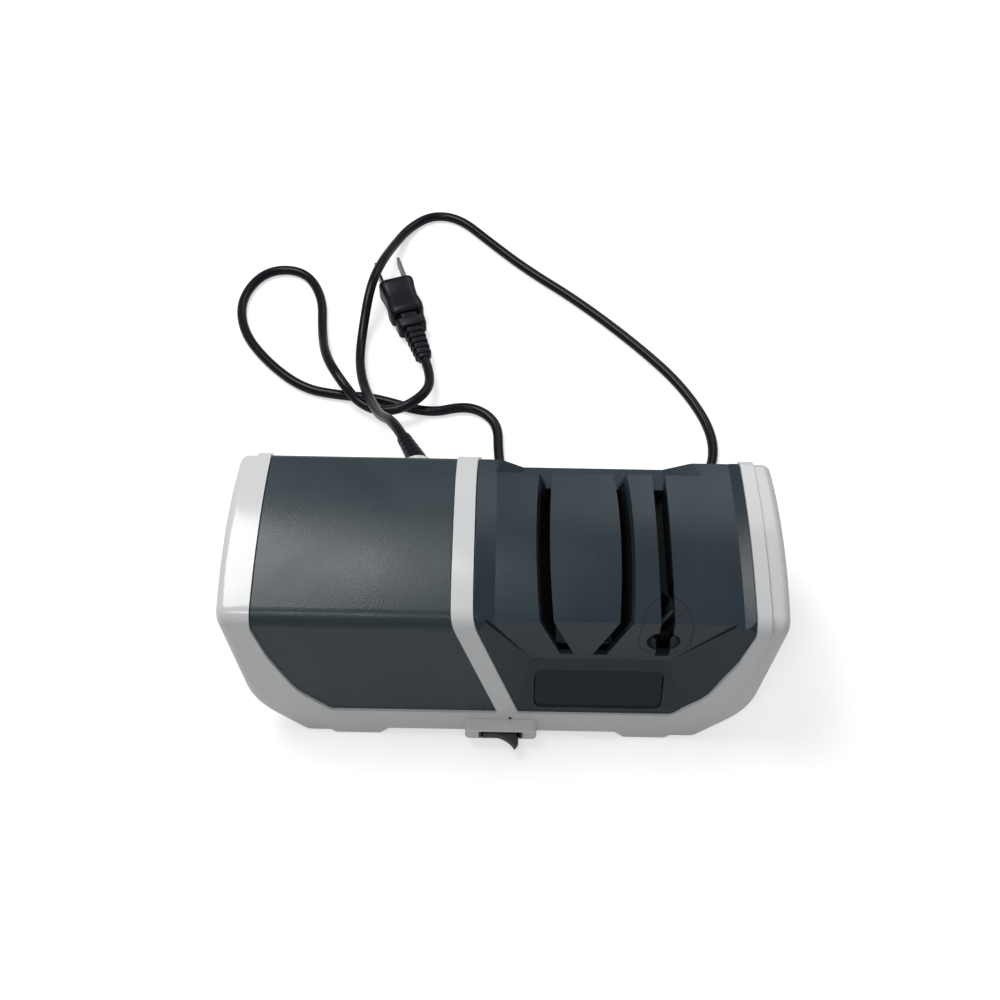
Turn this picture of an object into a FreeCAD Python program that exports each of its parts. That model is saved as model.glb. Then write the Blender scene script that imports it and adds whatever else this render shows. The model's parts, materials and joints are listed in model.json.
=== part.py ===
import FreeCAD, Part
import Sketcher
import math
import os
from FreeCAD import Placement, Rotation, Vector

# Electric knife sharpener: a free-standing housing with a motor half on the
# left and a grinding half on the right, a rocker switch and a twin-lead cord.
# Millimetres, +X to the right, +Y to the back, +Z up, the floor is Z = 0.

# Driving dimensions
SIZES = {
    # housing, side outline
    "base_front": -50.3, "base_back": 59.0,
    "front_bend_y": -36.0, "front_bend_z": 73.5,
    "crown_y": 5.0, "crown_z": 77.8,
    "back_bend_y": 47.9, "back_bend_z": 72.1,
    "front_bend_radius": 9.0, "back_bend_radius": 6.5,
    # housing, end outline
    "half_width": 114.3, "corner_inset": 8.8, "corner_height": 17.0,
    "base_inset": 27.3, "shoulder_height": 70.0, "end_radius": 32.0, "cap_edge_radius": 4.0,
    "cap_step": 1.2, "frame_wall": 3.2, "frame_lift": 0.8,
    "arch_height": 4.3, "arch_left": -48.0, "arch_right": 49.0, "arch_run": 4.0,
    # step line between the end caps and the rims
    "rim_half_top": 106.0, "rim_half_mid": 101.5, "rim_mid_height": 42.0,
    "rim_half_low": 91.0, "rim_low_height": 18.5, "rim_half_base": 70.0,
    # windows for the two covers
    "window_half_top": 100.3, "window_half_mid": 95.4, "window_mid_height": 50.0,
    "window_half_low": 85.6, "window_low_height": 28.5, "window_half_base": 72.0,
    "window_base": 16.0, "window_shoulder": 67.0, "guide_back_height": 58.0, "motor_back_height": 63.6,
    "band_left_top": -21.0, "band_right_top": -12.3, "band_shoulder": 74.0, "band_lean": 19.6,
    "seam_gap": 0.3, "fit_gap": 0.3,
    # covers
    "cover_drop": 1.0, "cover_wall": 2.4, "flange_wall": 1.4, "flange_reach": 4.0,
    # guide cover
    "plateau_drop": 3.4, "left_facet": 8.8, "right_facet": 4.4,
    "slope_top_y": -32.6, "slope_foot_y": -34.5, "slope_foot_z": 43.0, "pocket_foot_z": 15.6,
    "pocket_foot_y": -47.2, "pocket_left": 11.7, "pocket_right": 69.0,
    "ledge_y": 39.5, "ledge_z": 62.0, "ledge_left": 8.0, "ledge_right": 68.5,
    "ledge_left_top": -9.0, "ledge_right_top": 90.0,
    # knife slots
    "slot_width": 5.6, "slot_angle": 21.0, "left_slot_x": 14.5, "right_slot_x": 51.8,
    "fine_slot_x": 65.4, "slot_foot": 46.4, "blade_depth": 54.0,
    "guide_wall": 1.8, "guide_foot": 50.0,
    # fine insert and its rods
    "insert_width": 20.8, "insert_top_y": -21.5, "insert_foot_z": 47.5,
    "insert_gap": 0.15, "rod_radius": 2.5, "rod_length": 20.0, "rod_angle": 20.0, "rod_centre_z": 58.5,
    "rod_pitch": 6.0, "rod_front_y": -22.5, "holder_foot": 10.0,
    # filings tray
    "tray_left": 13.8, "tray_right": 67.2, "tray_top": 37.2, "tray_foot": 19.6, "tray_corner": 3.0,
    "tray_panel": 2.6, "tray_recess": 0.7, "tray_wall": 1.6, "tray_side_height": 33.0,
    "tray_back": 24.0, "tray_lip": 24.8,
    # running gear
    "axis_y": 2.0, "axis_z": 44.0, "shaft_radius": 3.0, "shaft_left": -82.0, "shaft_right": 45.0,
    "running_clearance": 0.05, "wheel_radius": 18.4, "wheel_width": 5.2,
    "wheel_hub_radius": 5.4, "wheel_clearance": 0.4, "nut_width": 4.0, "nut_across": 10.0,
    # motor
    "motor_left": -78.0, "motor_right": -22.0, "can_radius": 21.0, "can_wall": 1.5,
    "bell_width": 6.0, "bush_radius": 5.0, "bush_length": 8.0,
    "core_left": -66.0, "core_right": -44.0, "core_radius": 14.5, "core_teeth": 7.0,
    "magnet_wall": 3.6, "commutator_radius": 5.6, "commutator_length": 8.0,
    "winding_radius": 11.5, "winding_length": 5.0,
    "fan_left": -17.5, "fan_width": 9.0, "fan_radius": 20.0, "fan_hub_radius": 6.0, "fan_blades": 8.0,
    "brush_side": 4.0, "brush_length": 8.0,
    # bulkhead and cradle
    "bulkhead_left": 2.5, "bulkhead_wall": 2.6, "bearing_radius": 8.0, "bearing_width": 5.0,
    "cradle_width": 8.0, "cradle_half": 17.0, "strap_wall": 1.2,
    # base
    "base_bottom": 4.8, "base_wall": 2.4, "foot_radius": 7.0, "foot_x": 74.0, "foot_front_y": -34.0,
    "foot_back_y": 43.0, "foot_stem_radius": 2.5, "screw_x": 58.0, "screw_front_y": -38.0,
    "screw_back_y": 47.0, "screw_radius": 1.5, "screw_head_radius": 2.8, "boss_radius": 4.2,
    "boss_height": 11.6, "vent_width": 2.4, "vent_length": 24.0,
    # rocker switch in its hood
    "hood_half_width": 15.2, "hood_top": 11.6, "hood_bottom": 3.8, "hood_reach": 3.2,
    "rocker_half_width": 7.6, "rocker_half_height": 2.9, "rocker_proud": 6.0,
    "switch_depth": 14.0, "switch_half_width": 9.0,
    # cord, its exit and its plug
    "cord_width": 5.0, "exit_x": -38.0, "exit_z": 55.0, "exit_reach": 54.5,
    "boss_outer": 7.2, "relief_length": 20.0, "relief_root": 4.4, "relief_tip": 3.3,
    "plug_width": 19.0, "plug_height": 14.6, "plug_length": 22.0, "plug_waist": 12.0,
    "prong_width": 6.3, "prong_thick": 1.5, "prong_length": 17.5, "prong_pitch": 12.7,
}

doc = FreeCAD.newDocument("knife_sharpener")
sheet = doc.addObject("Spreadsheet::Sheet", "sizes")
for row, (alias, value) in enumerate(SIZES.items(), start=1):
    sheet.set("A%d" % row, str(value))
    sheet.setAlias("A%d" % row, alias)
doc.recompute()

parts = []
FAR = 400.0


def size(alias):
    """The number that the sheet holds under an alias."""
    return float(sheet.get(alias))


def keep(item):
    """List a finished sub-part for export."""
    parts.append(item)
    return item


def feature(label, shape):
    """A sub-part whose shape is worked out from the sheet."""
    item = doc.addObject("Part::Feature", label)
    item.Label = label
    item.Shape = shape
    item.Placement = Placement()
    return keep(item)


# Sketch based sub-parts
def origin_plane(body, role):
    """One of a body's own origin planes."""
    return [item for item in body.Origin.OriginFeatures if item.Role == role][0]


def attached_sketch(body, role, offset="0"):
    """An empty sketch on an origin plane, moved along the plane's normal."""
    sketch = body.newObject("Sketcher::SketchObject", body.Name + "_sketch")
    sketch.AttachmentSupport = [(origin_plane(body, role), "")]
    sketch.MapMode = "FlatFace"
    sketch.setExpression("AttachmentOffset.Base.z", offset)
    return sketch


def add_outline(sketch, corners):
    """A closed outline whose corners are bound to expressions."""
    count = len(corners)
    first = sketch.GeometryCount
    ring = [Vector(math.cos(math.tau * i / count), math.sin(math.tau * i / count), 0) * 10
            for i in range(count)]
    for i in range(count):
        sketch.addGeometry(Part.LineSegment(ring[i], ring[(i + 1) % count]), False)
    for i in range(count):
        after = first + (i + 1) % count
        sketch.addConstraint(Sketcher.Constraint("Coincident", first + i, 2, after, 1))
    for i, (across, up) in enumerate(corners):
        for kind, start, text in (("DistanceX", ring[i].x, across), ("DistanceY", ring[i].y, up)):
            index = sketch.addConstraint(Sketcher.Constraint(kind, -1, 1, first + i, 1, start))
            sketch.setExpression("Constraints[%d]" % index, text)


def turned(label, corners, place=("0", "sizes.axis_y", "sizes.axis_z"), axis="H_Axis"):
    """A body turned about X (H_Axis) or Z (V_Axis) from an outline in the XZ plane."""
    body = doc.addObject("PartDesign::Body", label)
    body.Label = label
    sketch = attached_sketch(body, "XZ_Plane")
    add_outline(sketch, corners)
    turn = body.newObject("PartDesign::Revolution", label + "_turn")
    turn.Profile = sketch
    turn.ReferenceAxis = (sketch, [axis])
    turn.Angle = 360
    for name, text in zip("xyz", place):
        body.setExpression("Placement.Base." + name, text)
    return body


# Shape helpers for the moulded shells
def rounded_wire(corners):
    """A closed planar wire through (point, radius) corners, rounded by tangent arcs."""
    edges = []
    ends = []
    count = len(corners)
    for i in range(count):
        before = corners[i - 1][0]
        point, radius = corners[i]
        after = corners[(i + 1) % count][0]
        back = (before - point).normalize()
        ahead = (after - point).normalize()
        turn = math.pi - back.getAngle(ahead)
        if radius <= 0 or turn < 1e-6:
            ends.append((point, None, point))
            continue
        reach = radius * math.tan(turn / 2)
        middle = (back + ahead).normalize() * (radius / math.cos(turn / 2) - radius)
        ends.append((point + back * reach, point + middle, point + ahead * reach))
    for i in range(count):
        start, mid, stop = ends[i]
        if mid is not None:
            edges.append(Part.Arc(start, mid, stop).toShape())
        following = ends[(i + 1) % count][0]
        if (following - stop).Length > 1e-6:
            edges.append(Part.LineSegment(stop, following).toShape())
    return Part.Wire(edges)


def end_prism(corners, front=-FAR, back=FAR):
    """A prism along Y from an outline of (x, z, radius) corners."""
    wire = rounded_wire([(Vector(x, front, z), radius) for x, z, radius in corners])
    return Part.Face(wire).extrude(Vector(0, back - front, 0))


def side_prism(corners, left, right):
    """A prism along X from an outline of (y, z, radius) corners."""
    wire = rounded_wire([(Vector(left, y, z), radius) for y, z, radius in corners])
    return Part.Face(wire).extrude(Vector(right - left, 0, 0))


def block(x0, y0, z0, x1, y1, z1):
    """A box between two corners."""
    return Part.makeBox(x1 - x0, y1 - y0, z1 - z0, Vector(x0, y0, z0))


def rod(centre, axis, radius, length):
    """A cylinder that starts at a point and runs along an axis."""
    return Part.makeCylinder(radius, length, centre, axis)


# Side outline of the housing
DEPTH_BELOW = 30.0
front_lean = (size("front_bend_y") - size("base_front")) / size("front_bend_z")
back_lean = (size("base_back") - size("back_bend_y")) / size("back_bend_z")


def crown_arc():
    """The arc of the housing's top, in the YZ plane."""
    return Part.Arc(Vector(0, size("front_bend_y"), size("front_bend_z")),
                    Vector(0, size("crown_y"), size("crown_z")),
                    Vector(0, size("back_bend_y"), size("back_bend_z")))


crown_circle = crown_arc().toShape().Curve
crown_centre = crown_circle.Center
crown_radius = crown_circle.Radius


def body_prism(inset, half=FAR):
    """The housing's side outline, moved inwards and run along X."""
    front_low = Vector(0, size("base_front") - front_lean * DEPTH_BELOW, -DEPTH_BELOW)
    back_low = Vector(0, size("base_back") + back_lean * DEPTH_BELOW, -DEPTH_BELOW)
    front_top = Vector(0, size("front_bend_y"), size("front_bend_z"))
    back_top = Vector(0, size("back_bend_y"), size("back_bend_z"))
    wire = Part.Wire([Part.LineSegment(front_low, front_top).toShape(), crown_arc().toShape(),
                      Part.LineSegment(back_top, back_low).toShape(),
                      Part.LineSegment(back_low, front_low).toShape()])
    face = Part.Face(wire)
    if inset:
        face = face.makeOffset2D(-inset, 2)
    face.translate(Vector(-half, 0, 0))
    solid = face.extrude(Vector(2 * half, 0, 0))
    high = [edge for edge in solid.Edges
            if abs(edge.tangentAt(edge.FirstParameter).x) > 0.99 and edge.CenterOfMass.z > 0]
    high.sort(key=lambda edge: edge.CenterOfMass.y)
    solid = solid.makeFillet(size("front_bend_radius") - inset, [high[0]])
    back = [edge for edge in solid.Edges
            if abs(edge.tangentAt(edge.FirstParameter).x) > 0.99
            and abs(edge.CenterOfMass.y - high[-1].CenterOfMass.y) < 0.01
            and abs(edge.CenterOfMass.z - high[-1].CenterOfMass.z) < 0.01]
    return solid.makeFillet(size("back_bend_radius") - inset, back)


def front_y(height, inset=0.0):
    """Where the front face lies at a height."""
    return size("base_front") + front_lean * height + inset * math.hypot(1, front_lean)


def back_y(height, inset=0.0):
    """Where the back face lies at a height."""
    return size("base_back") - back_lean * height - inset * math.hypot(1, back_lean)


def end_outline(inset):
    """The outline of the whole housing seen from the front."""
    half = size("half_width") - inset
    corner = half - size("corner_inset")
    foot = half - size("base_inset")
    flare = (corner - foot) / size("corner_height")
    lean = (half - corner) / (size("shoulder_height") - size("corner_height"))
    above = 150.0
    right = [(foot - flare * DEPTH_BELOW, -DEPTH_BELOW, 0),
             (corner, size("corner_height"), size("end_radius")),
             (half + lean * (above - size("shoulder_height")), above, 0)]
    left = [(-x, z, radius) for x, z, radius in reversed(right)]
    return right + left


def rim_outline(inset):
    """The outline between the two step lines."""
    right = [(size("rim_half_base") - inset - DEPTH_BELOW, -DEPTH_BELOW, 0),
             (size("rim_half_base") - inset, 0.0, 0),
             (size("rim_half_low") - inset, size("rim_low_height"), 22.0),
             (size("rim_half_mid") - inset, size("rim_mid_height"), 30.0),
             (size("rim_half_top") - inset, size("window_shoulder"), 20.0),
             (size("rim_half_top") - inset, 150.0, 0)]
    left = [(-x, z, radius) for x, z, radius in reversed(right)]
    return right + left


def window_edge(grow):
    """The outer edge of a cover window, from the top down to its foot."""
    return [(size("window_half_top") + grow, 150.0, 0),
            (size("window_half_top") + grow, size("window_shoulder"), 12.0),
            (size("window_half_mid") + grow, size("window_mid_height"), 40.0),
            (size("window_half_low") + grow, size("window_low_height") - grow / 2, 26.0),
            (size("window_half_base") + grow / 2, size("window_base") - grow, 4.0)]


def band_x(edge, height, shift):
    """The band's edge at a height: upright on top, leaning to the right on the front."""
    drop = max(0.0, size("band_shoulder") - height) / (size("band_shoulder") - size("window_base"))
    return size(edge) + shift + size("band_lean") * drop


def left_window(grow):
    """Outline of the motor cover's window."""
    outer = [(-x, z, radius) for x, z, radius in reversed(window_edge(grow))]
    foot = size("window_base") - grow
    inner = [(band_x("band_left_top", 150.0, grow), 150.0, 0),
             (band_x("band_left_top", size("band_shoulder"), grow), size("band_shoulder"), 20.0),
             (band_x("band_left_top", foot, grow), foot, 1.0)]
    return outer + inner


def right_window(grow):
    """Outline of the guide cover's window."""
    foot = size("window_base") - grow
    inner = [(band_x("band_right_top", 150.0, -grow), 150.0, 0),
             (band_x("band_right_top", size("band_shoulder"), -grow), size("band_shoulder"), 20.0),
             (band_x("band_right_top", foot, -grow), foot, 1.0)]
    return window_edge(grow) + inner[::-1]


def window_prism(outline, foot_shift, back_height):
    """A cover window: all of the front and top, and the back down to a lip."""
    middle = size("crown_y")
    whole = end_prism(outline, -FAR, middle)
    rear = end_prism(outline, middle - 1, FAR)
    lip = size(back_height) - foot_shift
    rear = rear.common(block(-FAR, -FAR, lip, FAR, FAR, FAR))
    return whole.fuse(rear).removeSplitter()


# White frame
def make_frame():
    """The white housing: end caps, rims, band, base strip, switch hood and cord boss."""
    caps = body_prism(size("cap_step")).common(end_prism(end_outline(0.0)))
    caps = caps.makeFillet(size("cap_edge_radius"), cap_edges(caps))
    rims = body_prism(0.0).common(end_prism(rim_outline(0.0)))
    outer = caps.fuse(rims).removeSplitter()
    cavity = body_prism(size("frame_wall")).common(end_prism(end_outline(size("frame_wall") - 0.4)))
    shell = outer.cut(cavity)
    shell = shell.cut(window_prism(left_window(0.0), 0.0, "motor_back_height"))
    shell = shell.cut(window_prism(right_window(0.0), 0.0, "guide_back_height"))
    shell = shell.fuse(hood())
    shell = shell.fuse(cord_boss())
    for solid in screw_bosses():
        shell = shell.fuse(solid)
    shell = shell.cut(hood_opening())
    shell = shell.cut(cord_bore())
    for x, y in screw_places():
        shell = shell.cut(rod(Vector(x, y, 0), Vector(0, 0, 1), size("screw_radius") - 0.2,
                              size("boss_height") - 1.5))
    shell = shell.cut(arch_tool())
    return shell.removeSplitter()


def cap_edges(caps):
    """The edges where the end faces meet the front, the top and the back."""
    return [edge for edge in caps.Edges
            if abs(edge.CenterOfMass.x) > size("rim_half_base") - 10 and edge.BoundBox.ZMax > 1
            and edge.BoundBox.XLength < size("rim_half_base")
            and edge.BoundBox.XLength + edge.BoundBox.ZLength > 0.01]


def arch_tool():
    """What is taken off below: a thin slice all over, more between the corner feet."""
    left = size("arch_left")
    right = size("arch_right")
    run = size("arch_run")
    low = size("frame_lift")
    high = size("arch_height")
    outline = [(-FAR, -FAR, 0), (FAR, -FAR, 0), (FAR, low, 0), (right + run, low, 0),
               (right, high, 0), (left, high, 0), (left - run, low, 0), (-FAR, low, 0)]
    return end_prism(outline)


def hood():
    """The boss round the rocker switch, with its inner sleeve."""
    half = size("hood_half_width")
    low = size("hood_bottom")
    high = size("hood_top")
    face = front_y(0.0) - size("hood_reach")
    boss = block(-half, face, low, half, front_y(high, size("frame_wall")), high)
    corners = [edge for edge in boss.Edges
               if edge.BoundBox.YLength > 1 and abs(edge.CenterOfMass.x) > half - 0.1]
    boss = boss.makeFillet(2.0, corners)
    front = [edge for edge in boss.Edges if abs(edge.BoundBox.YMax - face) < 1e-4]
    return boss.makeChamfer(0.6, front)


def hood_opening():
    """The rocker's opening through the hood."""
    half = size("switch_half_width") + size("fit_gap")
    tall = size("rocker_half_height") + size("fit_gap")
    middle = hood_middle()
    return block(-half, -FAR, middle - tall, half, front_y(0.0) + 12, middle + tall)


def hood_middle():
    """The height of the middle of the hood."""
    return (size("hood_top") + size("hood_bottom")) / 2


def boss_start():
    """The inner end of the cord boss, along Y."""
    return back_y(size("exit_z"), size("frame_wall")) - 1.0


def cord_boss():
    """The round boss on the back wall that the cord leaves through."""
    start = boss_start()
    boss = rod(Vector(size("exit_x"), start, size("exit_z")), Vector(0, 1, 0), size("boss_outer"),
               size("exit_reach") - start)
    rim = [edge for edge in boss.Edges if edge.BoundBox.YMin > size("exit_reach") - 0.01]
    return boss.makeChamfer(0.8, rim)


def cord_bore():
    """The hole through the cord boss."""
    return rod(Vector(size("exit_x"), 0, size("exit_z")), Vector(0, 1, 0),
               size("boss_outer") - 2.0, FAR)


def screw_places():
    """Where the base screws stand."""
    return [(side * size("screw_x"), y) for side in (-1, 1)
            for y in (size("screw_front_y"), size("screw_back_y"))]


def screw_bosses():
    """Bosses for the base screws, each tied to the nearest wall by a rib."""
    floor = size("base_bottom") + size("base_wall") + size("fit_gap")
    solids = []
    for x, y in screw_places():
        boss = rod(Vector(x, y, floor), Vector(0, 0, 1), size("boss_radius"),
                   size("boss_height") - floor)
        rib_half = size("guide_wall")
        if y < 0:
            rib = block(x - rib_half, front_y(floor, 1.5), floor, x + rib_half, y, size("boss_height"))
        else:
            rib = block(x - rib_half, y, floor, x + rib_half, back_y(floor, 2.5), size("boss_height"))
        solids.append(boss.fuse(rib))
    return solids


# Grey covers
def flange_ring(window, back_height):
    """The lip under the frame's wall that carries a cover."""
    outer = body_prism(size("frame_wall") + size("seam_gap"))
    inner = body_prism(size("frame_wall") + size("seam_gap") + size("flange_wall"))
    reach = size("flange_reach")
    wide = window_prism(window(reach), reach, back_height)
    hole = window_prism(window(-size("cover_wall")), -size("cover_wall"), back_height)
    limit = body_prism(0.0).common(end_prism(end_outline(size("frame_wall") + size("seam_gap"))))
    return outer.cut(inner).common(wide).cut(hole).common(limit)


def make_motor_cover():
    """The curved grey cover over the motor."""
    gap = size("seam_gap")
    outer = body_prism(size("cover_drop"))
    inner = body_prism(size("cover_drop") + size("cover_wall") + 0.3)
    skin = outer.cut(inner).common(window_prism(left_window(-gap), -gap, "motor_back_height"))
    ring = flange_ring(left_window, "motor_back_height")
    clear = rod(Vector(size("exit_x"), size("crown_y"), size("exit_z")), Vector(0, 1, 0),
                size("boss_outer") + size("fit_gap"), FAR)
    return skin.fuse(ring.cut(clear)).removeSplitter()


def facet_fan(apex, rim, reach):
    """A wedge from an apex to a rim of points, run on past the rim and filled behind."""
    far = [apex + (point - apex) * reach for point in rim]
    behind = [point + Vector(0, 120, 0) for point in far]
    faces = []
    for i in range(len(far) - 1):
        faces.append(Part.Face(Part.makePolygon([apex, far[i], far[i + 1], apex])))
        faces.append(Part.Face(Part.makePolygon([far[i], behind[i], far[i + 1], far[i]])))
        faces.append(Part.Face(Part.makePolygon([far[i + 1], behind[i], behind[i + 1], far[i + 1]])))
    rear = apex + Vector(0, 120, 0)
    for i in range(len(far) - 1):
        faces.append(Part.Face(Part.makePolygon([rear, behind[i + 1], behind[i], rear])))
    faces.append(Part.Face(Part.makePolygon([apex, rear, far[0], apex])))
    faces.append(Part.Face(Part.makePolygon([rear, behind[0], far[0], rear])))
    faces.append(Part.Face(Part.makePolygon([apex, far[-1], rear, apex])))
    faces.append(Part.Face(Part.makePolygon([rear, far[-1], behind[-1], rear])))
    return Part.Solid(Part.Shell(faces))


def surface_point(x, height):
    """A point of the grey surface on the front face."""
    return Vector(x, front_y(height, size("cover_drop")), height)


def guide_form():
    """The guide cover's surface as a filled form that runs on past the window."""
    drop = size("cover_drop")
    form = body_prism(drop)
    left = band_x("band_right_top", 150.0, 0.0)
    right = size("window_half_top")
    low = crown_radius - size("plateau_drop")
    rim = crown_radius - drop + 0.2
    centre = crown_centre
    outline = [Vector(left, centre.y, centre.z + rim),
               Vector(left + size("left_facet"), centre.y, centre.z + low),
               Vector(right - size("right_facet"), centre.y, centre.z + low),
               Vector(right + 0.6, centre.y, centre.z + rim),
               Vector(right + 0.6, centre.y, centre.z + rim + 30),
               Vector(left, centre.y, centre.z + rim + 30)]
    face = Part.Face(Part.makePolygon(outline + outline[:1]))
    axis_start = Vector(0, centre.y, centre.z)
    half_turn = 24.0
    face.rotate(axis_start, Vector(1, 0, 0), half_turn)
    scoop = face.revolve(axis_start, Vector(1, 0, 0), -2 * half_turn)
    form = form.cut(scoop)
    form = form.cut(front_pocket())
    return form.cut(back_scoop()).removeSplitter()


def front_pocket():
    """What is taken out in front: an upright slope, a leaning pocket and two facets."""
    top = 120.0
    lean = (size("slope_top_y") - size("slope_foot_y")) / (size("front_bend_z") - size("slope_foot_z"))
    air = side_prism([(size("slope_foot_y"), size("slope_foot_z"), 0),
                      (size("slope_foot_y") + lean * (top - size("slope_foot_z")), top, 0),
                      (-120, top, 0), (-120, size("pocket_foot_z"), 0),
                      (size("pocket_foot_y"), size("pocket_foot_z"), 0)], -60, 160)
    right_apex = Vector(size("pocket_right"), size("slope_foot_y"), size("slope_foot_z"))
    left_apex = Vector(size("pocket_left"), size("slope_foot_y"), size("slope_foot_z"))
    foot = size("pocket_foot_z")
    right_rim = [surface_point(size("window_half_base") - 0.2, foot - 6),
                 surface_point(size("window_half_base") + 1.6, foot + 1.0),
                 surface_point(size("window_half_low") - 5.5, size("window_low_height") - 5.5),
                 surface_point(size("window_half_low") + 1.0, size("window_low_height") + 3),
                 surface_point(size("window_half_mid") - 2.0, size("window_mid_height") - 8),
                 surface_point(size("window_half_mid") + 1.8, size("window_mid_height") + 6),
                 surface_point(size("window_half_top"), size("window_shoulder")),
                 surface_point(size("window_half_top") + 3, size("window_shoulder") + 16)]
    left_rim = [surface_point(band_x("band_right_top", height, 0.4), height)
                for height in (size("window_shoulder") + 12, foot - 6)]
    air = air.cut(facet_fan(right_apex, right_rim, 1.4))
    return air.cut(facet_fan(left_apex, left_rim, 1.4))


def back_scoop():
    """What is taken out behind the plateau, down to the ledge."""
    low = size("ledge_z")
    high = size("back_bend_z") + 2
    rise = (high - low)
    left_run = size("ledge_left_top") - size("ledge_left")
    right_run = size("ledge_right_top") - size("ledge_right")
    outline = [(size("ledge_left"), low, 0), (size("ledge_right"), low, 0),
               (size("ledge_right_top"), high, 0), (size("ledge_right_top") + right_run, high + rise, 0),
               (size("ledge_left_top") + left_run, high + rise, 0), (size("ledge_left_top"), high, 0)]
    return end_prism(outline, size("ledge_y"), FAR)


def eroded(form, wall):
    """The inside of a form: what stays inside when it is moved by the wall each way."""
    inner = form.copy()
    for step in (Vector(0, 0, -wall), Vector(0, wall, 0), Vector(0, -wall, 0),
                 Vector(wall, 0, 0), Vector(-wall, 0, 0), Vector(0, -wall, -wall)):
        moved = form.copy()
        moved.translate(step)
        inner = inner.common(moved)
    return inner


def slot_x(middle, tilt, height):
    """The middle of a slot at a height, for a slot that leans to a side."""
    return middle + tilt * math.tan(math.radians(size("slot_angle"))) * (size("crown_z") - height)


SLOTS = (("left_slot_x", 1), ("right_slot_x", -1), ("fine_slot_x", 0))


def slot_tool(alias, tilt, grow=0.0, foot=None):
    """A slot's slab, open to the front slope and, above the ledge, to the back."""
    half = size("slot_width") / 2 + grow
    low = size("slot_foot") if foot is None else foot
    high = 100.0
    middle = size(alias)
    outline = [(slot_x(middle, tilt, low) - half, low, 0), (slot_x(middle, tilt, low) + half, low, 0),
               (slot_x(middle, tilt, high) + half, high, 0), (slot_x(middle, tilt, high) - half, high, 0)]
    slab = end_prism(outline, size("slope_foot_y") - 14, size("ledge_y") - size("cover_wall") - 0.4)
    over = end_prism(outline, size("ledge_y") - size("cover_wall") - 1.0, size("ledge_y") + 14)
    over = over.common(block(-FAR, -FAR, size("ledge_z") + 0.6, FAR, FAR, FAR))
    return slab.fuse(over).removeSplitter()


def insert_prism(grow):
    """A capsule along the diagonal through the front bend, for the fine insert."""
    half = size("insert_width") / 2 + grow
    top = Vector(size("fine_slot_x"), size("insert_top_y"), plateau_z(size("insert_top_y")))
    foot = Vector(size("fine_slot_x"), size("slope_foot_y"), size("insert_foot_z"))
    along = (foot - top).normalize()
    out = Vector(0, along.z, -along.y).normalize()
    side = Vector(1, 0, 0)
    top = top - along * grow
    foot = foot + along * grow
    radius = half - 0.5
    corners = [(top - side * half, radius), (top + side * half, radius),
               (foot + side * half, radius), (foot - side * half, radius)]
    wire = rounded_wire([(point - out * 60, turn) for point, turn in corners])
    return Part.Face(wire).extrude(out * 120)


def plateau_z(y):
    """The height of the plateau at a depth."""
    reach = crown_radius - size("plateau_drop")
    return crown_centre.z + math.sqrt(reach ** 2 - (y - crown_centre.y) ** 2)


def tray_window(grow):
    """The opening for the filings tray, straight through along Y."""
    left = size("tray_left") - grow
    right = size("tray_right") + grow
    low = size("tray_foot") - grow
    high = size("tray_top") + grow
    radius = size("tray_corner") + grow
    return end_prism([(left, low, radius), (right, low, radius), (right, high, radius),
                      (left, high, radius)], -FAR, size("slope_foot_y") + 4)


form_whole = guide_form()
form_outer = form_whole.common(window_prism(right_window(-size("seam_gap")), -size("seam_gap"),
                                            "guide_back_height"))
form_inner = eroded(form_whole, size("cover_wall"))


def make_guide_cover():
    """The moulded cover with the knife slots, the insert's seat and the tray's opening."""
    cover = form_outer.cut(form_inner)
    ring = flange_ring(right_window, "guide_back_height")
    ring = ring.cut(front_pocket()).cut(back_scoop())
    cover = cover.fuse(ring)
    for alias, tilt in SLOTS:
        cover = cover.cut(slot_tool(alias, tilt))
    cover = cover.cut(insert_prism(size("insert_gap")).common(insert_space()))
    cover = cover.cut(tray_window(size("seam_gap")))
    return cover.removeSplitter()


def insert_space():
    """The region round the front bend that the insert may take up."""
    return block(0, size("slope_foot_y") - 20, size("insert_foot_z") - 12, FAR,
                 size("insert_top_y") + 12, 100)


def make_fine_insert():
    """The capsule shaped insert round the front of the fine slot."""
    body = form_outer.common(insert_prism(0.0)).common(insert_space())
    deep = eroded(form_whole, size("cover_wall") + 1.2)
    body = body.cut(deep)
    body = body.cut(slot_tool("fine_slot_x", 0))
    x = size("fine_slot_x")
    mouth = Part.makeSphere(7.0, Vector(x - 0.5, size("slope_foot_y") - 0.8, size("insert_foot_z") + 10))
    return body.cut(mouth)


feature("white_frame", make_frame())
feature("motor_cover", make_motor_cover())
feature("guide_cover", make_guide_cover())
feature("fine_insert", make_fine_insert())

# Blade guides under the slots, in the room that the cover leaves
inner_room = eroded(form_whole, size("cover_wall") + size("fit_gap"))


def slanted_wall(alias, tilt, near, far, foot, high, front, back):
    """A wall along a slot: near and far are its distances from the slot's middle."""
    middle = size(alias)
    low_x = slot_x(middle, tilt, foot)
    high_x = slot_x(middle, tilt, high)
    outline = [(low_x + near, foot, 0), (low_x + far, foot, 0),
               (high_x + far, high, 0), (high_x + near, high, 0)]
    return end_prism(outline, front, back)


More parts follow.
